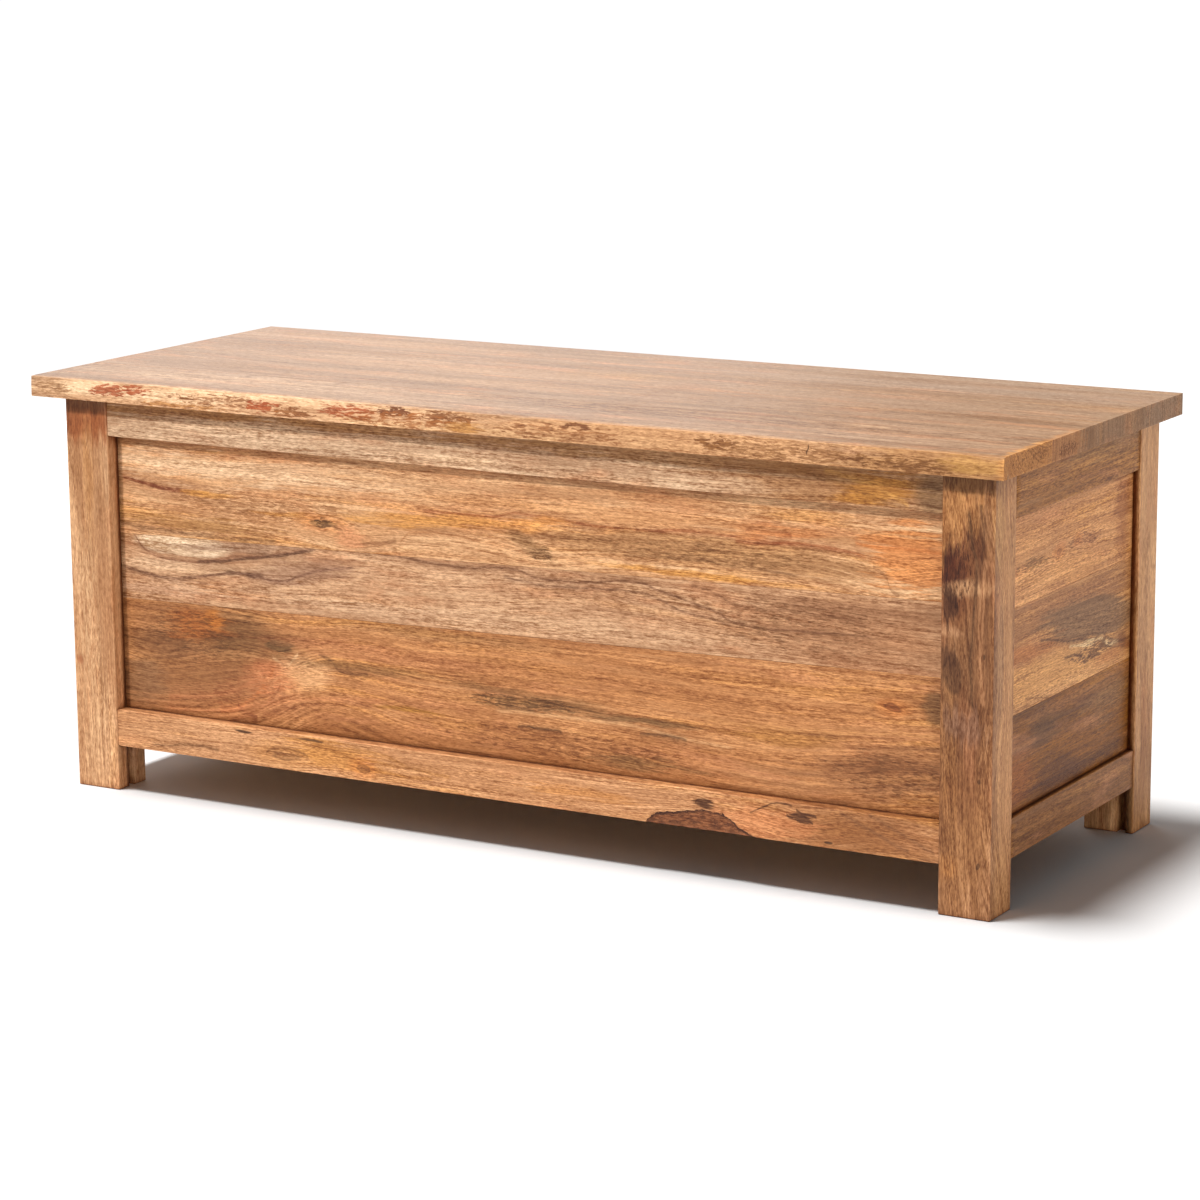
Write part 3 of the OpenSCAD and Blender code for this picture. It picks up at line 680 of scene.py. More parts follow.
WOODS = {}
WOODS["front_panel_upper_board"] = dict(
    axes="xzy", tones=("be8658", "dda678", "f0c398"), pith=(520, -140), lean=0.012, wander=9, gold=0.5,
    grey=0.2, marks=[
    sweep((-190, 296), (40, 20), -9),
    sweep((40, 300), (55, 20), -9),
    sweep((425, 312), (45, 26), -12),
    sweep((-420, 372), (160, 20), -9),
    patch((-330, 358), (170, 13), "f6d1ae"),
    patch((-120, 366), (130, 10), "e6b88e", 0.5),
    vein([(-482, 341), (-450, 336), (-420, 332), (-392, 332), (-365, 331)], 2.4, "844224", 0.95,
          ragged=0.5),
    patch((-375, 331), (30, 3), GOLD, 0.8),
    flecks((-300, 322), (170, 22), "9c6234", 0.6, 0.46),
    patch((-395, 297), (95, 7), "b27c42", 0.75),
    vein([(-488, 290), (-420, 287), (-350, 286), (-280, 288)], 2.4, BROWN),
    knot((-222, 313), (16, 5), "8e6842", 0.65),
    flecks((-224, 313), (16, 7), UMBER, 0.8, 0.42),
    vein([(-212, 311), (-200, 306), (-186, 294), (-168, 296), (-132, 301)], 2, "9c6a46"),
    patch((-190, 300), (16, 10), SALMON, 0.55),
    patch((-100, 327), (115, 7), GOLD, tilt=0.06),
    vein([(-130, 296), (-124, 306), (-112, 313), (-60, 314), (-30, 310)], 1.4, "b07446"),
    vein([(-112, 337), (-20, 337), (10, 343), (60, 341), (140, 338), (215, 343), (280, 340), (380, 337)],
          1.7, RUST, 0.75, ragged=0.6),
    patch((28, 333), (42, 7), "eca45c", 0.8, tilt=0.1),
    patch((28, 310), (26, 8), "986e48", 0.75, tilt=-0.45, ragged=1.2),
    flecks((40, 304), (20, 12), "704a2c", 0.8, 0.47),
    patch((235, 322), (185, 16), "bd8c60", 0.8, soft=0.2, ragged=0.7),
    flecks((235, 322), (180, 14), "8c603a", 0.6, 0.48),
    patch((190, 300), (75, 4), GOLD, 0.85),
    patch((215, 311), (110, 3), "e8ae7a", 0.6),
    vein([(130, 312), (190, 314), (250, 313), (330, 309)], 1.3, BROWN, 0.55),
    patch((300, 350), (36, 8), "d68042", 0.65),
    vein([(268, 347), (285, 352), (308, 351), (320, 347)], 1.8, RUST, 0.8, ragged=0.5),
    vein([(255, 339), (285, 337), (318, 341), (400, 334)], 1.6, RUST, 0.75, ragged=0.5),
    patch((450, 338), (46, 34), "e49658", 0.85, soft=0.3),
    vein([(385, 350), (410, 345), (440, 346), (482, 345)], 1.6, "ce7438", 0.55),
    vein([(405, 326), (420, 316), (424, 306), (434, 300)], 1.8, "96623c", 0.6),
    patch((120, 352), (160, 8), "e6aa76", 0.6),
])
WOODS["front_panel_middle_board"] = dict(
    axes="xzy", tones=("b38361", "cd9d78", "e3b894"), pith=(60, -140), lean=0.012, wander=8, gold=0.15,
    ripple=1.4, marks=[
    sweep((-402, 258), (85, 14), -10),
    sweep((-290, 236), (70, 12), -6),
    sweep((130, 258), (140, 22), 14),
    sweep((470, 262), (110, 24), -10),
    patch((395, 262), (120, 44), "b57f59", 0.75, soft=0.8, ragged=0.6),
    patch((-402, 273), (64, 11), "f6d6b6", 0.95, soft=0.14, ragged=0.18),
    vein([(-474, 288), (-464, 276), (-450, 263), (-425, 257), (-395, 256), (-365, 260), (-335, 267),
          (-300, 271), (-265, 279), (-235, 285)], 1.6, "9c6c50", 0.85, ragged=0.5),
    vein([(-388, 257), (-350, 261), (-318, 267), (-285, 272), (-255, 279), (-232, 284)], 1.7, "68422e",
          0.9, halo=0.2, ragged=0.5),
    patch((-330, 277), (70, 5), "a78169", tilt=0.1),
    patch((-440, 250), (48, 5), "e6c09f", 0.6, ragged=0.5),
    vein([(-490, 245), (-455, 239), (-425, 236), (-395, 239), (-365, 245), (-320, 250), (-285, 246),
          (-255, 254), (-225, 263), (-180, 270)], 1.6, "7e543e", 0.9, ragged=0.5),
    patch((-315, 250), (14, 3), "65402c", 0.85, soft=0.4),
    patch((-341, 249), (9, 2.4), "6b462f", 0.75, soft=0.4),
    patch((-262, 258), (64, 10), "a37761", 0.55, tilt=0.15),
    patch((-430, 225), (60, 9), "d8ae8f", 0.6),
    patch((-150, 228), (170, 8), "e2ba99", 0.5),
    vein([(-240, 288), (-130, 286), (-60, 282), (0, 286), (40, 279), (95, 281), (145, 286), (170, 281),
          (205, 273), (240, 264), (285, 254), (340, 256), (420, 258)], 1.3, "84583e", 0.85, ragged=0.9),
    vein([(-10, 279), (40, 273), (95, 275), (150, 276), (200, 262), (260, 254)], 1.3, "7e543c", 0.75),
    patch((90, 236), (150, 9), "dcb28f", 0.6),
    patch((235, 283), (42, 12), "c68b63", 0.6, tilt=-0.4),
    vein([(205, 290), (240, 282), (275, 272), (320, 274), (400, 270)], 1.5, "885a3d", 0.6),
    patch((390, 284), (100, 10), "9c6d4d", 0.6),
    patch((285, 255), (9, 4), BROWN, 0.6, soft=0.4),
    flecks((330, 260), (160, 40), "7e5435", 0.5),
])
WOODS["front_panel_lower_board"] = dict(
    axes="xzy", tones=("9f663a", "c48655", "d99d6a"), pith=(-60, -140), lean=0.012, wander=10, grey=0.2,
    marks=[
    sweep((-225, 125), (95, 50), 36),
    sweep((0, 120), (230, 60), 30),
    sweep((-268, 205), (60, 26), -14),
    sweep((520, 130), (150, 60), 26),
    sweep((-440, 150), (50, 30), -12),
    patch((-395, 150), (120, 70), "99663f", 0.75, soft=0.6, ragged=0.7),
    patch((-345, 184), (44, 24), "754f2d", ragged=0.8),
    patch((-430, 163), (42, 14), "794d2f", 0.6, ragged=1),
    patch((-462, 122), (30, 26), "926949", ragged=1),
    patch((-388, 190), (36, 17), "b6692f", ragged=1.2),
    patch((-364, 198), (12, 10), "c77932", 0.65, ragged=1),
    flecks((-390, 180), (90, 40), "633e22", 0.6),
    knot((-280, 176), (17, 7), "715131", 0.85, pull=0.9, glow=BROWN),
    knot((-268, 161), (6, 3.5), RUST, 0.85, pull=0.85, glow=SALMON, glow_strength=0.5),
    patch((-250, 152), (34, 16), "eab382", 0.85, soft=0.35, ragged=0.6),
    patch((-276, 130), (20, 20), "e2a26f", soft=0.4, ragged=0.8),
    vein([(-292, 165), (-284, 160), (-272, 157), (-266, 163), (-258, 171)], 1.8, "eabd90", 0.85,
          halo=0.1, ragged=0.5),
    vein([(-234, 174), (-218, 168), (-204, 158), (-170, 158)], 1.8, "794d2f", 0.8, ragged=0.8),
    patch((-296, 140), (26, 20), "cd8055", 0.75, ragged=1),
    vein([(-362, 98), (-335, 106), (-312, 122), (-296, 140), (-288, 158)], 3, "c67745"),
    vein([(-350, 90), (-320, 100), (-295, 118), (-280, 138)], 2.6, "904d2b", 0.65),
    vein([(-338, 108), (-326, 100), (-312, 96)], 2.2, "803c20", 0.8),
    vein([(-430, 106), (-380, 112), (-330, 128), (-300, 150)], 3, "c47e54", 0.6),
    flecks((-300, 125), (60, 34), "f0b380", 0.5),
    flecks((-320, 118), (90, 34), "904f2b", 0.6),
    vein([(-400, 88), (-340, 96), (-300, 108), (-262, 124)], 2.2, "df9d6a", 0.6),
    vein([(-440, 92), (-370, 98), (-300, 112), (-230, 126), (-150, 132)], 2, "d58d5f", 0.5),
    vein([(-310, 96), (-270, 112), (-220, 122), (-160, 128)], 2.4, "8e4d2b", 0.5),
    patch((-200, 164), (100, 5), "865e38", 0.6),
    patch((-140, 180), (120, 8), "c68459", 0.5),
    patch((-60, 208), (120, 6), "a17149", 0.6, ragged=1),
    patch((-30, 160), (38, 4), "794f2d", 0.6),
    patch((35, 150), (75, 9), "825a36"),
    flecks((20, 149), (90, 12), "604026", 0.75, 0.46),
    patch((150, 146), (60, 4), "6c4a2a", 0.85, ragged=1),
    patch((-130, 126), (42, 3), "ac7632", 0.75),
    vein([(-20, 138), (60, 140), (130, 141), (200, 134), (260, 131)], 1.6, "e6b383", halo=0.3),
    vein([(8, 122), (30, 125), (62, 124)], 1.4, UMBER, 0.8, ragged=1.8),
    vein([(150, 133), (175, 135), (205, 132)], 1.6, UMBER),
    flecks((60, 112), (200, 22), "804b27", 0.6, 0.48),
    patch((300, 148), (60, 8), "b0773c"),
    patch((180, 188), (200, 22), "cb8c59", 0.5),
    patch((150, 102), (55, 7), "7e5a38", 0.65),
    knot((428, 191), (9, 4), "8c4924", pull=0.5),
    patch((476, 196), (16, 18), "795536", 0.75, soft=0.3, ragged=0.7),
    vein([(220, 156), (330, 158), (400, 163), (482, 170)], 2, "dfa26a", 0.75, halo=0.4),
    patch((420, 125), (90, 28), "996643", tilt=0.12),
    flecks((420, 125), (90, 34), "6f4529", 0.6),
])
WOODS["front_bottom_rail"] = dict(
    axes="xzy", tones=("af794d", "c99165", "e0aa7e"), pith=(-40, -150), lean=0.01, gold=0.4, grey=0.1,
    grain=1.1, marks=[
    sweep((-200, 56), (110, 16), 9),
    sweep((230, 60), (60, 22), 12),
    sweep((345, 70), (30, 14), -7),
    sweep((430, 60), (60, 30), 12),
    patch((-330, 68), (160, 26), "d6a278", 0.55, soft=0.8),
    patch((-200, 70), (60, 13), "d09049", 0.75, tilt=-0.12),
    knot((-266, 64), (22, 6), "b17b4e", pull=0.6, glow=GOLD),
    vein([(-292, 62), (-280, 70), (-262, 72), (-244, 69), (-236, 63)], 1.4, "926039", 0.8, ragged=0.5),
    vein([(-235, 80), (-200, 76), (-170, 66), (-130, 60), (-80, 62)], 2.2, "ad7139", 0.75),
    vein([(-190, 82), (-150, 80), (-110, 70), (-60, 66)], 1.8, "b57b3f", 0.6),
    knot((-168, 62), (8, 6), "a36839", 0.75, pull=0.5),
    patch((-318, 84), (10, 1.6), UMBER, 0.95, soft=0.3, ragged=0.4),
    patch((-234, 84), (14, 1.4), UMBER, 0.85, soft=0.3, ragged=0.6),
    vein([(-440, 56), (-415, 57), (-395, 61), (-350, 60)], 1.2, BROWN),
    patch((150, 74), (110, 8), "bf8960", 0.6),
    patch((90, 68), (60, 6), "d29050", 0.6),
    patch((400, 68), (92, 30), "955e33", 0.85, soft=0.7, ragged=0.8),
    patch((298, 66), (54, 14), "d88e5e", 0.65),
    bark(BARK_TOP, "965e3c", "482616"),
    patch((232, 76), (8, 3.6), SPALT, 0.95, soft=0.3, ragged=2.4),
    vein([(222, 76), (230, 80), (240, 79)], 1.2, SPALT, 0.9, halo=0, ragged=0.6),
    patch((343, 76), (11, 4), SPALT, 0.95, soft=0.3, ragged=2.6),
    vein([(322, 78), (334, 74), (346, 80), (356, 75)], 1.4, SPALT, 0.95, halo=0, ragged=0.8),
    vein([(333, 83), (340, 79), (348, 73), (352, 71)], 1.4, SPALT, 0.9, halo=0, ragged=0.6),
    vein([(282, 73), (296, 80), (312, 87), (330, 86)], 0.9, SPALT, 0.85, halo=0.1),
    vein([(378, 86), (400, 78), (430, 66), (455, 56)], 1.8, "825638", 0.6),
    vein([(410, 88), (432, 80), (458, 68), (482, 58)], 1.8, "825638", 0.6),
    patch((367, 54), (4, 1.8), UMBER, 0.95, soft=0.3),
])
WOODS["front_top_rail"] = dict(
    axes="xzy", tones=("b68c6a", "cda585", "e4bf9e"), pith=(560, -150), lean=0.01, wander=9, gold=0.1,
    grey=0.3, ripple=1.6, marks=[
    sweep((400, 396), (110, 16), 10),
    sweep((-100, 402), (200, 14), 6),
    # Painted shade: these three darker bands along the rail's top stand in for the lid overhang's
    # shadow.
    patch((-420, 421), (230, 9), "af743c", 0.8),
    patch((-170, 422), (260, 8), "b67f4a", 0.75),
    patch((210, 420), (240, 9), "bb8857", 0.75),
    patch((-300, 396), (190, 8), "e0bea0", 0.6),
    patch((370, 402), (128, 26), "a87241", 0.75, soft=0.6, ragged=0.8),
    patch((420, 404), (40, 13), "c28338", 0.85, tilt=0.15),
    vein([(330, 416), (370, 408), (400, 400), (430, 392)], 2, "915f2d", 0.6),
    vein([(360, 418), (400, 410), (436, 398), (452, 390)], 2, "daa15a", 0.6),
    patch((474, 402), (16, 20), "88684a", 0.75),
])
WOODS["leg_front_left"] = dict(
    axes="zxy", tones=("ae784e", "cd996f", "e4b68e"), pith=(-620, -300), gold=0.3, grey=0.15, grain=0.85,
    ripple=1.2, marks=[
    patch((404, -512), (24, 40), "9e5426", 0.85, ragged=1),
    # Painted shade: this dark band across the leg's top stands in for the shadow under the lid.
    patch((422, -512), (12, 40), "704422", 0.75, ragged=1),
    patch((340, -512), (60, 6), "c48a54", 0.6),
    patch((160, -516), (120, 11), "eec49a", 0.5, soft=0.8),
    flecks((180, -516), (140, 20), "b07448", 0.5),
    patch((230, -494), (60, 7), "bc8860", 0.75),
    patch((60, -515), (60, 14), "cea078", 0.6),
    patch((140, -532), (5, 4), RUST, 0.6),
])
WOODS["leg_front_right"] = dict(
    axes="zxy", tones=("6c4022", "966540", "c08e66"), pith=(440, -280), lean=0.07, wander=22, gold=0.1,
    grey=0.1, grain=1.15, marks=[
    sweep((318, 478, -190), (62, 32, 60), 24),
    sweep((240, 476, -190), (44, 30, 60), 18),
    sweep((380, 530, -190), (44, 22, 60), -12),
    sweep((100, 540, -190), (70, 30, 60), -16),
    knot((331, 497, -190), (22, 14, 60), "602c16", 0.9, pull=0.95, glow="784226", glow_strength=0.6),
    patch((345, 492, -190), (20, 8, 40), "5c2c16", 0.75, tilt=-0.3, ragged=1.2),
    patch((318, 512, -190), (9, 22, 40), "ce9c72", 0.75, tilt=1.1, ragged=0.8),
    patch((276, 492, -190), (7, 14, 40), "c4926c", 0.65, tilt=-1.2, ragged=0.8),
    flecks((340, 500, -190), (60, 24, 40), "462212", 0.8),
    patch((301, 493, -190), (14, 9, 50), "4a2816", 0.85, soft=0.35, ragged=2),
    knot((236, 498, -190), (18, 12, 60), "623e26", pull=0.85, glow="764e32"),
    patch((250, 492, -190), (10, 7, 40), "54321e", ragged=2),
    patch((392, 505, -190), (34, 24, 40), "d0945c", 0.65, tilt=0.4),
    # Painted shade: this dark band across the leg's top stands in for the shadow under the lid.
    patch((420, 512, -190), (10, 40, 40), "6a4425"),
    vein([(396, 510), (380, 514), (360, 516), (335, 521), (300, 519), (270, 517), (240, 516),
          (200, 521)], 1.5, UMBER, 0.8, ragged=0.6),
    vein([(400, 524), (370, 527), (340, 525), (320, 516)], 1.5, "5c3822", ragged=0.6),
    vein([(350, 530), (300, 527), (250, 526), (205, 533)], 2.2, "ce966c", 0.5),
    patch((185, 508, -190), (16, 18, 40), "86604c"),
    patch((48, 498, -190), (12, 9, 40), "d68e48", 0.6, ragged=1.2),
    patch((110, 510, -190), (40, 24, 40), "8d5b35", 0.5),
    patch((55, 510, -190), (46, 24, 40), "9d6c44", 0.8),
    patch((255, 530), (3.5, 1.3), UMBER, 0.9, soft=0.3, ragged=0.3),
    patch((134, 526), (2.4, 1.8), UMBER, 0.8, soft=0.3, ragged=0.3),
    patch((54, 526), (2.4, 1.8), UMBER, 0.8, soft=0.3, ragged=0.3),
    patch((214, 551, -158), (420, 16, 31), "d09968", 0.88, soft=0.3, ragged=0.3),
    patch((255, 545, -174), (62, 12, 8), "a77b58"),
    patch((378, 545, -178), (46, 12, 9), "d09e6a"),
])
WOODS["leg_rear_right"] = dict(
    axes="zxy", tones=("be8b5f", "cc996c", "d9a77a"), pith=(700, 230), gold=0.15, grey=0.15, grain=0.75,
    marks=[
    patch((90, 539, 190), (57, 28, 9), "b06e40", 0.5),
    patch((40, 539, 190), (60, 30, 40), "a67242", 0.65),
])
WOODS["leg_rear_left"] = dict(
    axes="zxy", tones=("ac764a", "ce9868", "e6b88a"), pith=(-700, 160))
WOODS["right_top_rail"] = dict(
    axes="yzx", tones=("925f2f", "a46e38", "b88047"), pith=(560, 500), lean=0.015, gold=0.1, grey=0.3,
    grain=1.15, marks=[
    patch((-25, 420), (18, 4), "96522d"),
    patch((90, 418), (90, 14), "966f47", 0.5),
])
WOODS["right_bottom_rail"] = dict(
    axes="yzx", tones=("724822", "89582d", "a06c3b"), pith=(-60, 500), gold=0.2, grey=0.2)
WOODS["right_panel_upper_board"] = dict(
    axes="yzx", tones=("be8251", "d39661", "e2a670"), pith=(140, 510), lean=0.012, wander=8, gold=0.4,
    grey=0.15, marks=[
    sweep((-13, 317), (60, 14), 8),
    sweep((62, 317), (34, 12), 7),
    knot((-21, 325), (7, 4), "ae6b3b", 0.6, pull=0.7),
    knot((62, 325), (9, 4), "9b5f3b", 0.55, pull=0.8, glow="bc7c4d"),
    knot((25, 330), (6, 3), "a1673f", 0.5, pull=0.6),
    flecks((-83, 325), (60, 9), "8b5f34", share=0.46),
    flecks((37, 327), (70, 12), "814a29"),
    patch((137, 335), (18, 50), "955229", 0.55),
    # Painted shade: this dark band along the board's top stands in for the shadow line under the side
    # top rail.
    patch((-3, 382), (160, 5), "9f6736", 0.6),
    patch((17, 305), (90, 12), "e0a166", 0.6),
])
WOODS["right_panel_middle_board"] = dict(
    axes="yzx", tones=("aa7245", "c28955", "d79c66"), pith=(500, 510), lean=0.012, gold=0.3, grey=0.2,
    marks=[
    sweep((-83, 245), (90, 24), 12),
    sweep((127, 219), (70, 22), -9),
    patch((-13, 273), (190, 16), "ac764c", 0.85),
    patch((70, 244), (125, 22), "8c6647", 0.9, soft=0.2, tilt=-0.12, ragged=0.5),
    patch((-110, 241), (70, 10), "be7842", 0.8, tilt=-0.05),
    patch((-20, 207), (200, 19), "e2a667", 0.85, soft=0.3, tilt=-0.06, ragged=0.4),
    vein([(-68, 247), (-23, 239), (12, 231), (47, 227), (70, 222), (88, 224), (104, 217), (132, 209),
          (156, 206)], 1.3, "70482e", 0.85, halo=0.2),
    vein([(-8, 217), (22, 215), (40, 211), (50, 203), (58, 207), (72, 205), (84, 212), (100, 210),
          (124, 204), (156, 200)], 1.4, "74482a", 0.85, halo=0.2),
    vein([(6, 226), (40, 222), (66, 218), (86, 220), (102, 212), (136, 206)], 1.2, "eecea0", halo=0.3,
          ragged=2),
    patch((52, 222), (18, 3), "f0d0a2", 0.6, tilt=-0.12, ragged=2.4),
    patch((112, 212), (22, 3), "f0d0a2", 0.6, tilt=-0.2, ragged=2.4),
    flecks((70, 211), (80, 13), "704426", 0.85, 0.45),
    patch((150, 205), (22, 7), "784224", 0.75, tilt=-0.2),
    patch((37, 191), (120, 5), "e9af75", 0.6),
    vein([(-98, 195), (-73, 193), (-51, 187), (-38, 184)], 1, "915e33", 0.8),
    patch((117, 197), (40, 8), "b8703b", 0.6),
])
WOODS["right_panel_lower_board"] = dict(
    axes="yzx", tones=("6b3e0e", "8b551a", "a66928"), pith=(-160, 510), wander=12, gold=0.1, grey=0.15,
    marks=[
    patch((-133, 117), (56, 30), "9c5928", 0.65, ragged=1),
    patch((-50, 160), (34, 16), "623f20", 0.75),
    patch((-8, 103), (70, 14), "61371b", 0.8, ragged=1),
    patch((112, 158), (50, 22), "966a42", 0.75),
    patch((37, 173), (120, 7), "9e693c", 0.6),
])
WOODS["lid_board_front"] = dict(
    axes="xyz", tones=LID_TONES, pith=(-120, 500), lean=0.01, wander=10, gold=0.1, grey=0.2, grain=0.95,
    marks=[
    patch((-280, -222, 436), (330, 11, 30), "e2b28a", 0.9, soft=0.4, ragged=0.4),
    patch((210, -222, 436), (230, 11, 30), "d09e72", 0.9, soft=0.4, ragged=0.4),
    patch((500, -222, 436), (110, 11, 30), "b88658", 0.9, soft=0.4, ragged=0.4),
    patch((-430, -222, 441), (120, 8, 7), "fcdab6"),
    patch((-250, -222, 446), (130, 8, 5), "fcd6b0", 0.75),
    patch((-60, -222, 432), (120, 8, 4), "f0c496", 0.6),
    flecks((-457, -222, 441), (40, 9, 9), EDGE_RED, 0.9, 0.4),
    flecks((-425, -222, 443), (30, 9, 8), EDGE_RED, 0.9, 0.42),
    flecks((-530, -222, 438), (40, 9, 14), "b0845e", 0.8, 0.46),
    flecks((-365, -222, 431), (80, 9, 6), "be844e", 0.85, 0.44),
    flecks((-300, -222, 440), (120, 9, 10), EDGE_BROWN, 0.8, 0.47),
    flecks((-262, -222, 438), (30, 9, 9), EDGE_RED, 0.9, 0.42),
    flecks((-226, -222, 434), (40, 9, 8), EDGE_BROWN, 0.9, 0.42),
    flecks((-155, -222, 440), (56, 9, 11), EDGE_RED, 0.9, 0.43),
    flecks((-104, -222, 444), (34, 9, 8), "743e1e", 0.95, 0.4),
    flecks((-45, -222, 442), (60, 9, 11), "865028", 0.9, 0.43),
    flecks((-90, -222, 436), (120, 9, 13), "aa6838", 0.8, 0.47),
    patch((-20, -222, 434), (16, 8, 4), OCHRE, 0.8, ragged=2),
    flecks((90, -222, 438), (120, 9, 15), "965e36", 0.8, 0.47),
    flecks((110, -222, 445), (26, 9, 6), "7c4a26", 0.9, 0.42),
    flecks((262, -222, 440), (30, 9, 11), "804e24", 0.9, 0.42),
    flecks((340, -222, 438), (140, 9, 15), "8e5e36", 0.75, 0.47),
    patch((359, -222, 442), (1, 8, 6), UMBER, 0.8, soft=0.3, ragged=0.3),
    flecks((470, -222, 436), (110, 9, 13), "7c4e26", 0.85, 0.45),
    patch((530, -222, 440), (30, 8, 8), "c89654", 0.6),
    patch((560, -160, 440), (7, 74, 30), "dea05e", 0.75, ragged=1),
    flecks((560, -160, 440), (9, 70, 16), "7c4c2a"),
    patch((-330, -150), (230, 32), "ceaa8a", 0.5, soft=0.8),
    patch((210, -124), (190, 5), "8a6242", 0.65),
    patch((250, -190), (200, 12), "a67e5e", 0.4),
    flecks((-400, -196), (120, 16), "a07452", 0.4, 0.48),
])
WOODS["lid_board_mid_front"] = dict(
    axes="xyz", tones=LID_TONES, pith=(-300, 460), lean=0.01, wander=12, gold=0.1, grey=0.2, grain=0.75,
    marks=[
    patch((-400, -60), (120, 26), "a07a5a", 0.5, soft=0.8),
    patch((240, -106), (170, 5), "8c6444", 0.65),
    patch((-350, -98), (150, 4), "966e4e", 0.55),
    patch((-120, -40), (200, 18), "c49c7a", 0.5),
    patch((460, -12), (120, 9), "926a4a", 0.6),
    patch((90, -30), (14, 22), "9c7252", 0.4, soft=0.7),
    patch((560, -84, 440), (7, 44, 30), "cc9464", ragged=1),
    flecks((560, -72, 436), (9, 34, 10), "78482a", 0.75, 0.46),
])
WOODS["lid_board_mid_rear"] = dict(
    axes="xyz", tones=LID_TONES, pith=(380, 460), lean=0.01, wander=12, gold=0.2, grey=0.2, grain=0.8,
    marks=[
    patch((-180, 30), (260, 24), "c8a07e", 0.5, soft=0.8),
    patch((300, 98), (240, 6), "967052", 0.65),
    patch((-350, 90), (150, 10), "a47a56", 0.5),
    patch((0, 66), (60, 20), "ba8c5c", 0.5, soft=0.8),
    # Painted sheen: this broad pinkish-grey patch over the board's right part stands in for a whitish
    # reflection.
    patch((420, 50), (240, 60), "ae927c", 0.45, soft=0.9),
    patch((95, 22), (16, 26), "a67a5a", 0.45, soft=0.8),
])
WOODS["lid_board_rear"] = dict(
    axes="xyz", tones=LID_TONES, pith=(-100, 460), lean=0.01, wander=12, gold=0.2, grain=0.8, marks=[
    # Painted sheen: this broad pinkish-grey patch over the board's right part stands in for a whitish
    # reflection.
    patch((400, 170), (260, 60), "b29c8d", 0.65, soft=0.9),
    patch((300, 175), (260, 12), "9e7a5e", 0.5),
    patch((-350, 160), (160, 24), "c49c7a", 0.5, soft=0.8),
    patch((330, 112), (200, 5), "947054", 0.6),
])

for number, look in enumerate(WOODS.values(), 1):
    look["seed"] = float(number)

PLAIN_TONES = ("b27c4e", "ce9868", "e4b282")
REAR_PANEL_TONES = ("a27044", "c48c5c", "e0aa78")
for number, (node, axes) in enumerate([
        ("rear_top_rail", "xzy"), ("rear_bottom_rail", "xzy"), ("left_top_rail", "yzx"),
        ("left_bottom_rail", "yzx")]):
    WOODS[node] = dict(axes=axes, tones=PLAIN_TONES, pith=(250.0, 20.0), lean=0.04, seed=20.0 + number)
for number, (side, axes) in enumerate([("rear", "xzy"), ("left", "yzx")]):
    for row, level in enumerate(("upper", "middle", "lower")):
        low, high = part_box(f"{side}_panel_{level}_board")
        middle = 0.5 * (low + high) / MM
        face = middle["xyz".index(axes[2])]
        heart = face - math.copysign(150.0, face)
        knot_at = (middle["xyz".index(axes[0])] + 90 - 110 * row, middle.z + 12 - 9 * row)
        WOODS[f"{side}_panel_{level}_board"] = dict(
            axes=axes, tones=REAR_PANEL_TONES, pith=(middle.z - 260 + 190 * row, heart), lean=0.012,
            wander=11.0, gold=0.4, grey=0.3, seed=30.0 + 3 * number + row,
            marks=[knot(knot_at, (12, 7), BROWN, 0.8),
                   patch((knot_at[0] - 60, middle.z - 20), (110, 12), OCHRE, 0.5),
                   patch((knot_at[0] + 90, middle.z + 18), (120, 14), PALE, 0.5)])
for number, node in enumerate(("floor_board_front", "floor_board_mid_front", "floor_board_mid_rear",
                               "floor_board_rear", "front_cleat", "rear_cleat")):
    low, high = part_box(node)
    across = 0.5 * (low.y + high.y) / MM
    WOODS[node] = dict(axes="xyz", tones=INNER_TONES, pith=(across - 20, 10.0), lean=0.05, gold=0.2,
                       grey=0.2, seed=40.0 + number)
for number, node in enumerate(("left_cleat", "right_cleat", "floor_bearer", "lid_batten_left",
                               "lid_batten_middle", "lid_batten_right")):
    low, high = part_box(node)
    across = 0.5 * (low.x + high.x) / MM
    WOODS[node] = dict(axes="yxz", tones=INNER_TONES, pith=(across + 30, 300.0), lean=0.05, gold=0.2,
                       grey=0.2, seed=50.0 + number)

# How each part's edges and faces are worked, where it isn't the plain way
FINE_LID = dict(y=[lid_low.y + d for d in (0.8, 2.0, 3.6, 5.6, 8.0, 10.8, 14.0)],
                z=[lid_high.z - d for d in (0.8, 2.0, 3.6, 5.6, 8.0, 11.0, 15.0)],
                x=steps(lid_low.x, lid_high.x, 5.0))
FINE_BARK = dict(x=steps(BARK_TOP[0][0] - 3, BARK_TOP[-1][0] + 3, 2.5),
                 z=steps(rail_low.z, rail_low.z + 28, 2.5))
WORKED = {
    "lid_board_front": dict(arris=0.5, extra=FINE_LID, shape=waney_edge),
    "front_bottom_rail": dict(arris=1.0, extra=FINE_BARK, shape=bark_pocket),
}
for node in WOODS:
    if "panel" in node:
        WORKED[node] = dict(arris=0.3, whole_edges=False)
    elif node.startswith("lid_board") and node not in WORKED:
        WORKED[node] = dict(arris=0.35)
    elif node.startswith("leg"):
        WORKED[node] = dict(arris=1.6)

for node, look in WOODS.items():
    wood_piece(node, wood(node, **look), seed=look["seed"], **WORKED.get(node, {}))


# ---------- Metal parts ----------

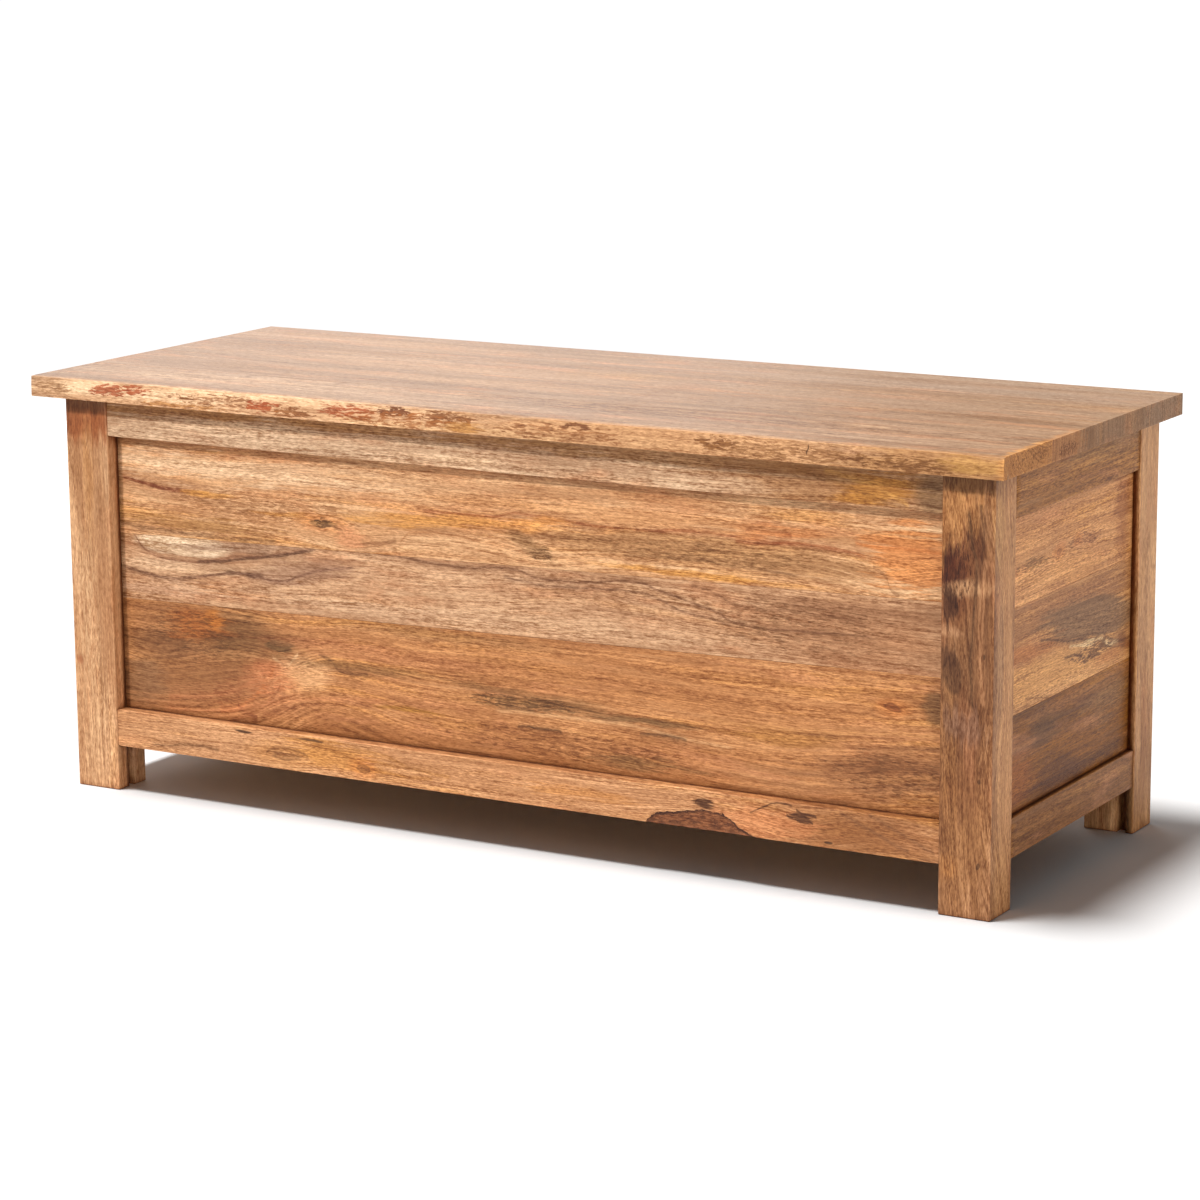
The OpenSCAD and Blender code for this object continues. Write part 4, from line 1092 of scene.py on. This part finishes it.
METALS = {
    "brass_fittings": metal("dull_brass", "be9c60", "785c36", 0.32, 0.12),
    "steel_screws": metal("zinc_plated_steel", "b0b0b4", "767470", 0.28, 0.14),
}
for node, cad in frame["nodes"].items():
    if node in WOODS:
        continue
    cad.data.materials.clear()
    cad.data.materials.append(METALS[SLOT_OF[node]])
    weld = cad.modifiers.new("weld", "WELD")
    weld.merge_threshold = WELD
    eased = cad.modifiers.new("eased edges", "BEVEL")
    eased.width = METAL_EASE
    eased.segments = 2
    eased.limit_method = "ANGLE"
    eased.angle_limit = CREASE


# ---------- Stage, light and camera ----------

FLOOR_HALF = 150.0
ROOM_LIGHT = 0.16


def pale_floor():
    grid = bmesh.new()
    bmesh.ops.create_grid(grid, x_segments=8, y_segments=8, size=FLOOR_HALF)
    mesh = bpy.data.meshes.new("floor")
    grid.to_mesh(mesh)
    grid.free()
    floor = bpy.data.objects.new("floor", mesh)
    bpy.context.scene.collection.objects.link(floor)
    material = bpy.data.materials.new("pale_floor")
    material.use_nodes = True
    shader = material.node_tree.nodes["Principled BSDF"]
    shader.inputs["Base Color"].default_value = (0.88, 0.88, 0.88, 1)
    shader.inputs["Roughness"].default_value = 0.9
    shader.inputs["Specular IOR Level"].default_value = 0.1
    mesh.materials.append(material)


def hang_lamp(name, kind, strength, direction):
    lamp = bpy.data.objects.new(name, bpy.data.lights.new(name, kind))
    lamp.data.energy = strength
    lamp.rotation_mode = "QUATERNION"
    lamp.rotation_quaternion = direction.to_track_quat("-Z", "Y")
    bpy.context.scene.collection.objects.link(lamp)
    return lamp


def sun(name, towards, strength, softness, lights_floor=True):
    """A soft distant light that shines along a direction. Softness is in degrees."""
    lamp = hang_lamp(name, "SUN", strength, Vector(towards))
    lamp.data.angle = math.radians(softness)
    if not lights_floor:
        spared = bpy.data.collections.new(name + "_spares")
        spared.objects.link(bpy.data.objects["floor"])
        spared.collection_objects[0].light_linking.link_state = "EXCLUDE"
        lamp.light_linking.receiver_collection = spared


def softbox(name, at, towards, size, power):
    """A rectangular light that the camera doesn't see."""
    lamp = hang_lamp(name, "AREA", power, Vector(towards) - Vector(at))
    lamp.data.shape = "RECTANGLE"
    lamp.data.size, lamp.data.size_y = size
    lamp.location = at
    lamp.visible_camera = False


def studio():
    """Even pale surroundings."""
    world = bpy.data.worlds.new("studio")
    world.use_nodes = True
    background = world.node_tree.nodes["Background"]
    background.inputs["Color"].default_value = (1, 1, 1, 1)
    background.inputs["Strength"].default_value = ROOM_LIGHT
    bpy.context.scene.world = world


CAMERA_AT = (1.9111, -3.2652, 1.0131)
CAMERA_AZIMUTH = 30.26
CAMERA_PITCH = 11.81
CAMERA_ROLL = -0.44
CAMERA_LENS = 110.98
CAMERA_REACH = 500.0


def camera():
    azimuth, pitch, roll = (math.radians(a) for a in (CAMERA_AZIMUTH, CAMERA_PITCH, CAMERA_ROLL))
    ahead = Vector((-math.sin(azimuth) * math.cos(pitch), math.cos(azimuth) * math.cos(pitch),
                    -math.sin(pitch)))
    right = ahead.cross(Vector((0, 0, 1))).normalized()
    up = right.cross(ahead)
    turned = Matrix.Rotation(-roll, 3, ahead)
    data = bpy.data.cameras.new("camera")
    data.lens = CAMERA_LENS
    data.sensor_width = 36.0
    data.clip_end = CAMERA_REACH
    view = bpy.data.objects.new("camera", data)
    axes = Matrix((turned @ right, turned @ up, -ahead)).transposed()
    view.matrix_world = Matrix.Translation(CAMERA_AT) @ axes.to_4x4()
    bpy.context.scene.collection.objects.link(view)
    bpy.context.scene.camera = view


pale_floor()
studio()
sun("above", (0.19, 0.12, -1.0), 3.35, 14)
sun("front", (0.27, 0.86, -0.57), 2.13, 4, lights_floor=False)
sun("side", (-0.80, 0.30, -0.52), 1.75, 60, lights_floor=False)
softbox("sheen", (-1.9, 2.2, 1.05), (-0.2, 0.0, 0.45), (1.9, 1.3), 21.0)
camera()
bpy.context.scene.view_settings.view_transform = "Standard"
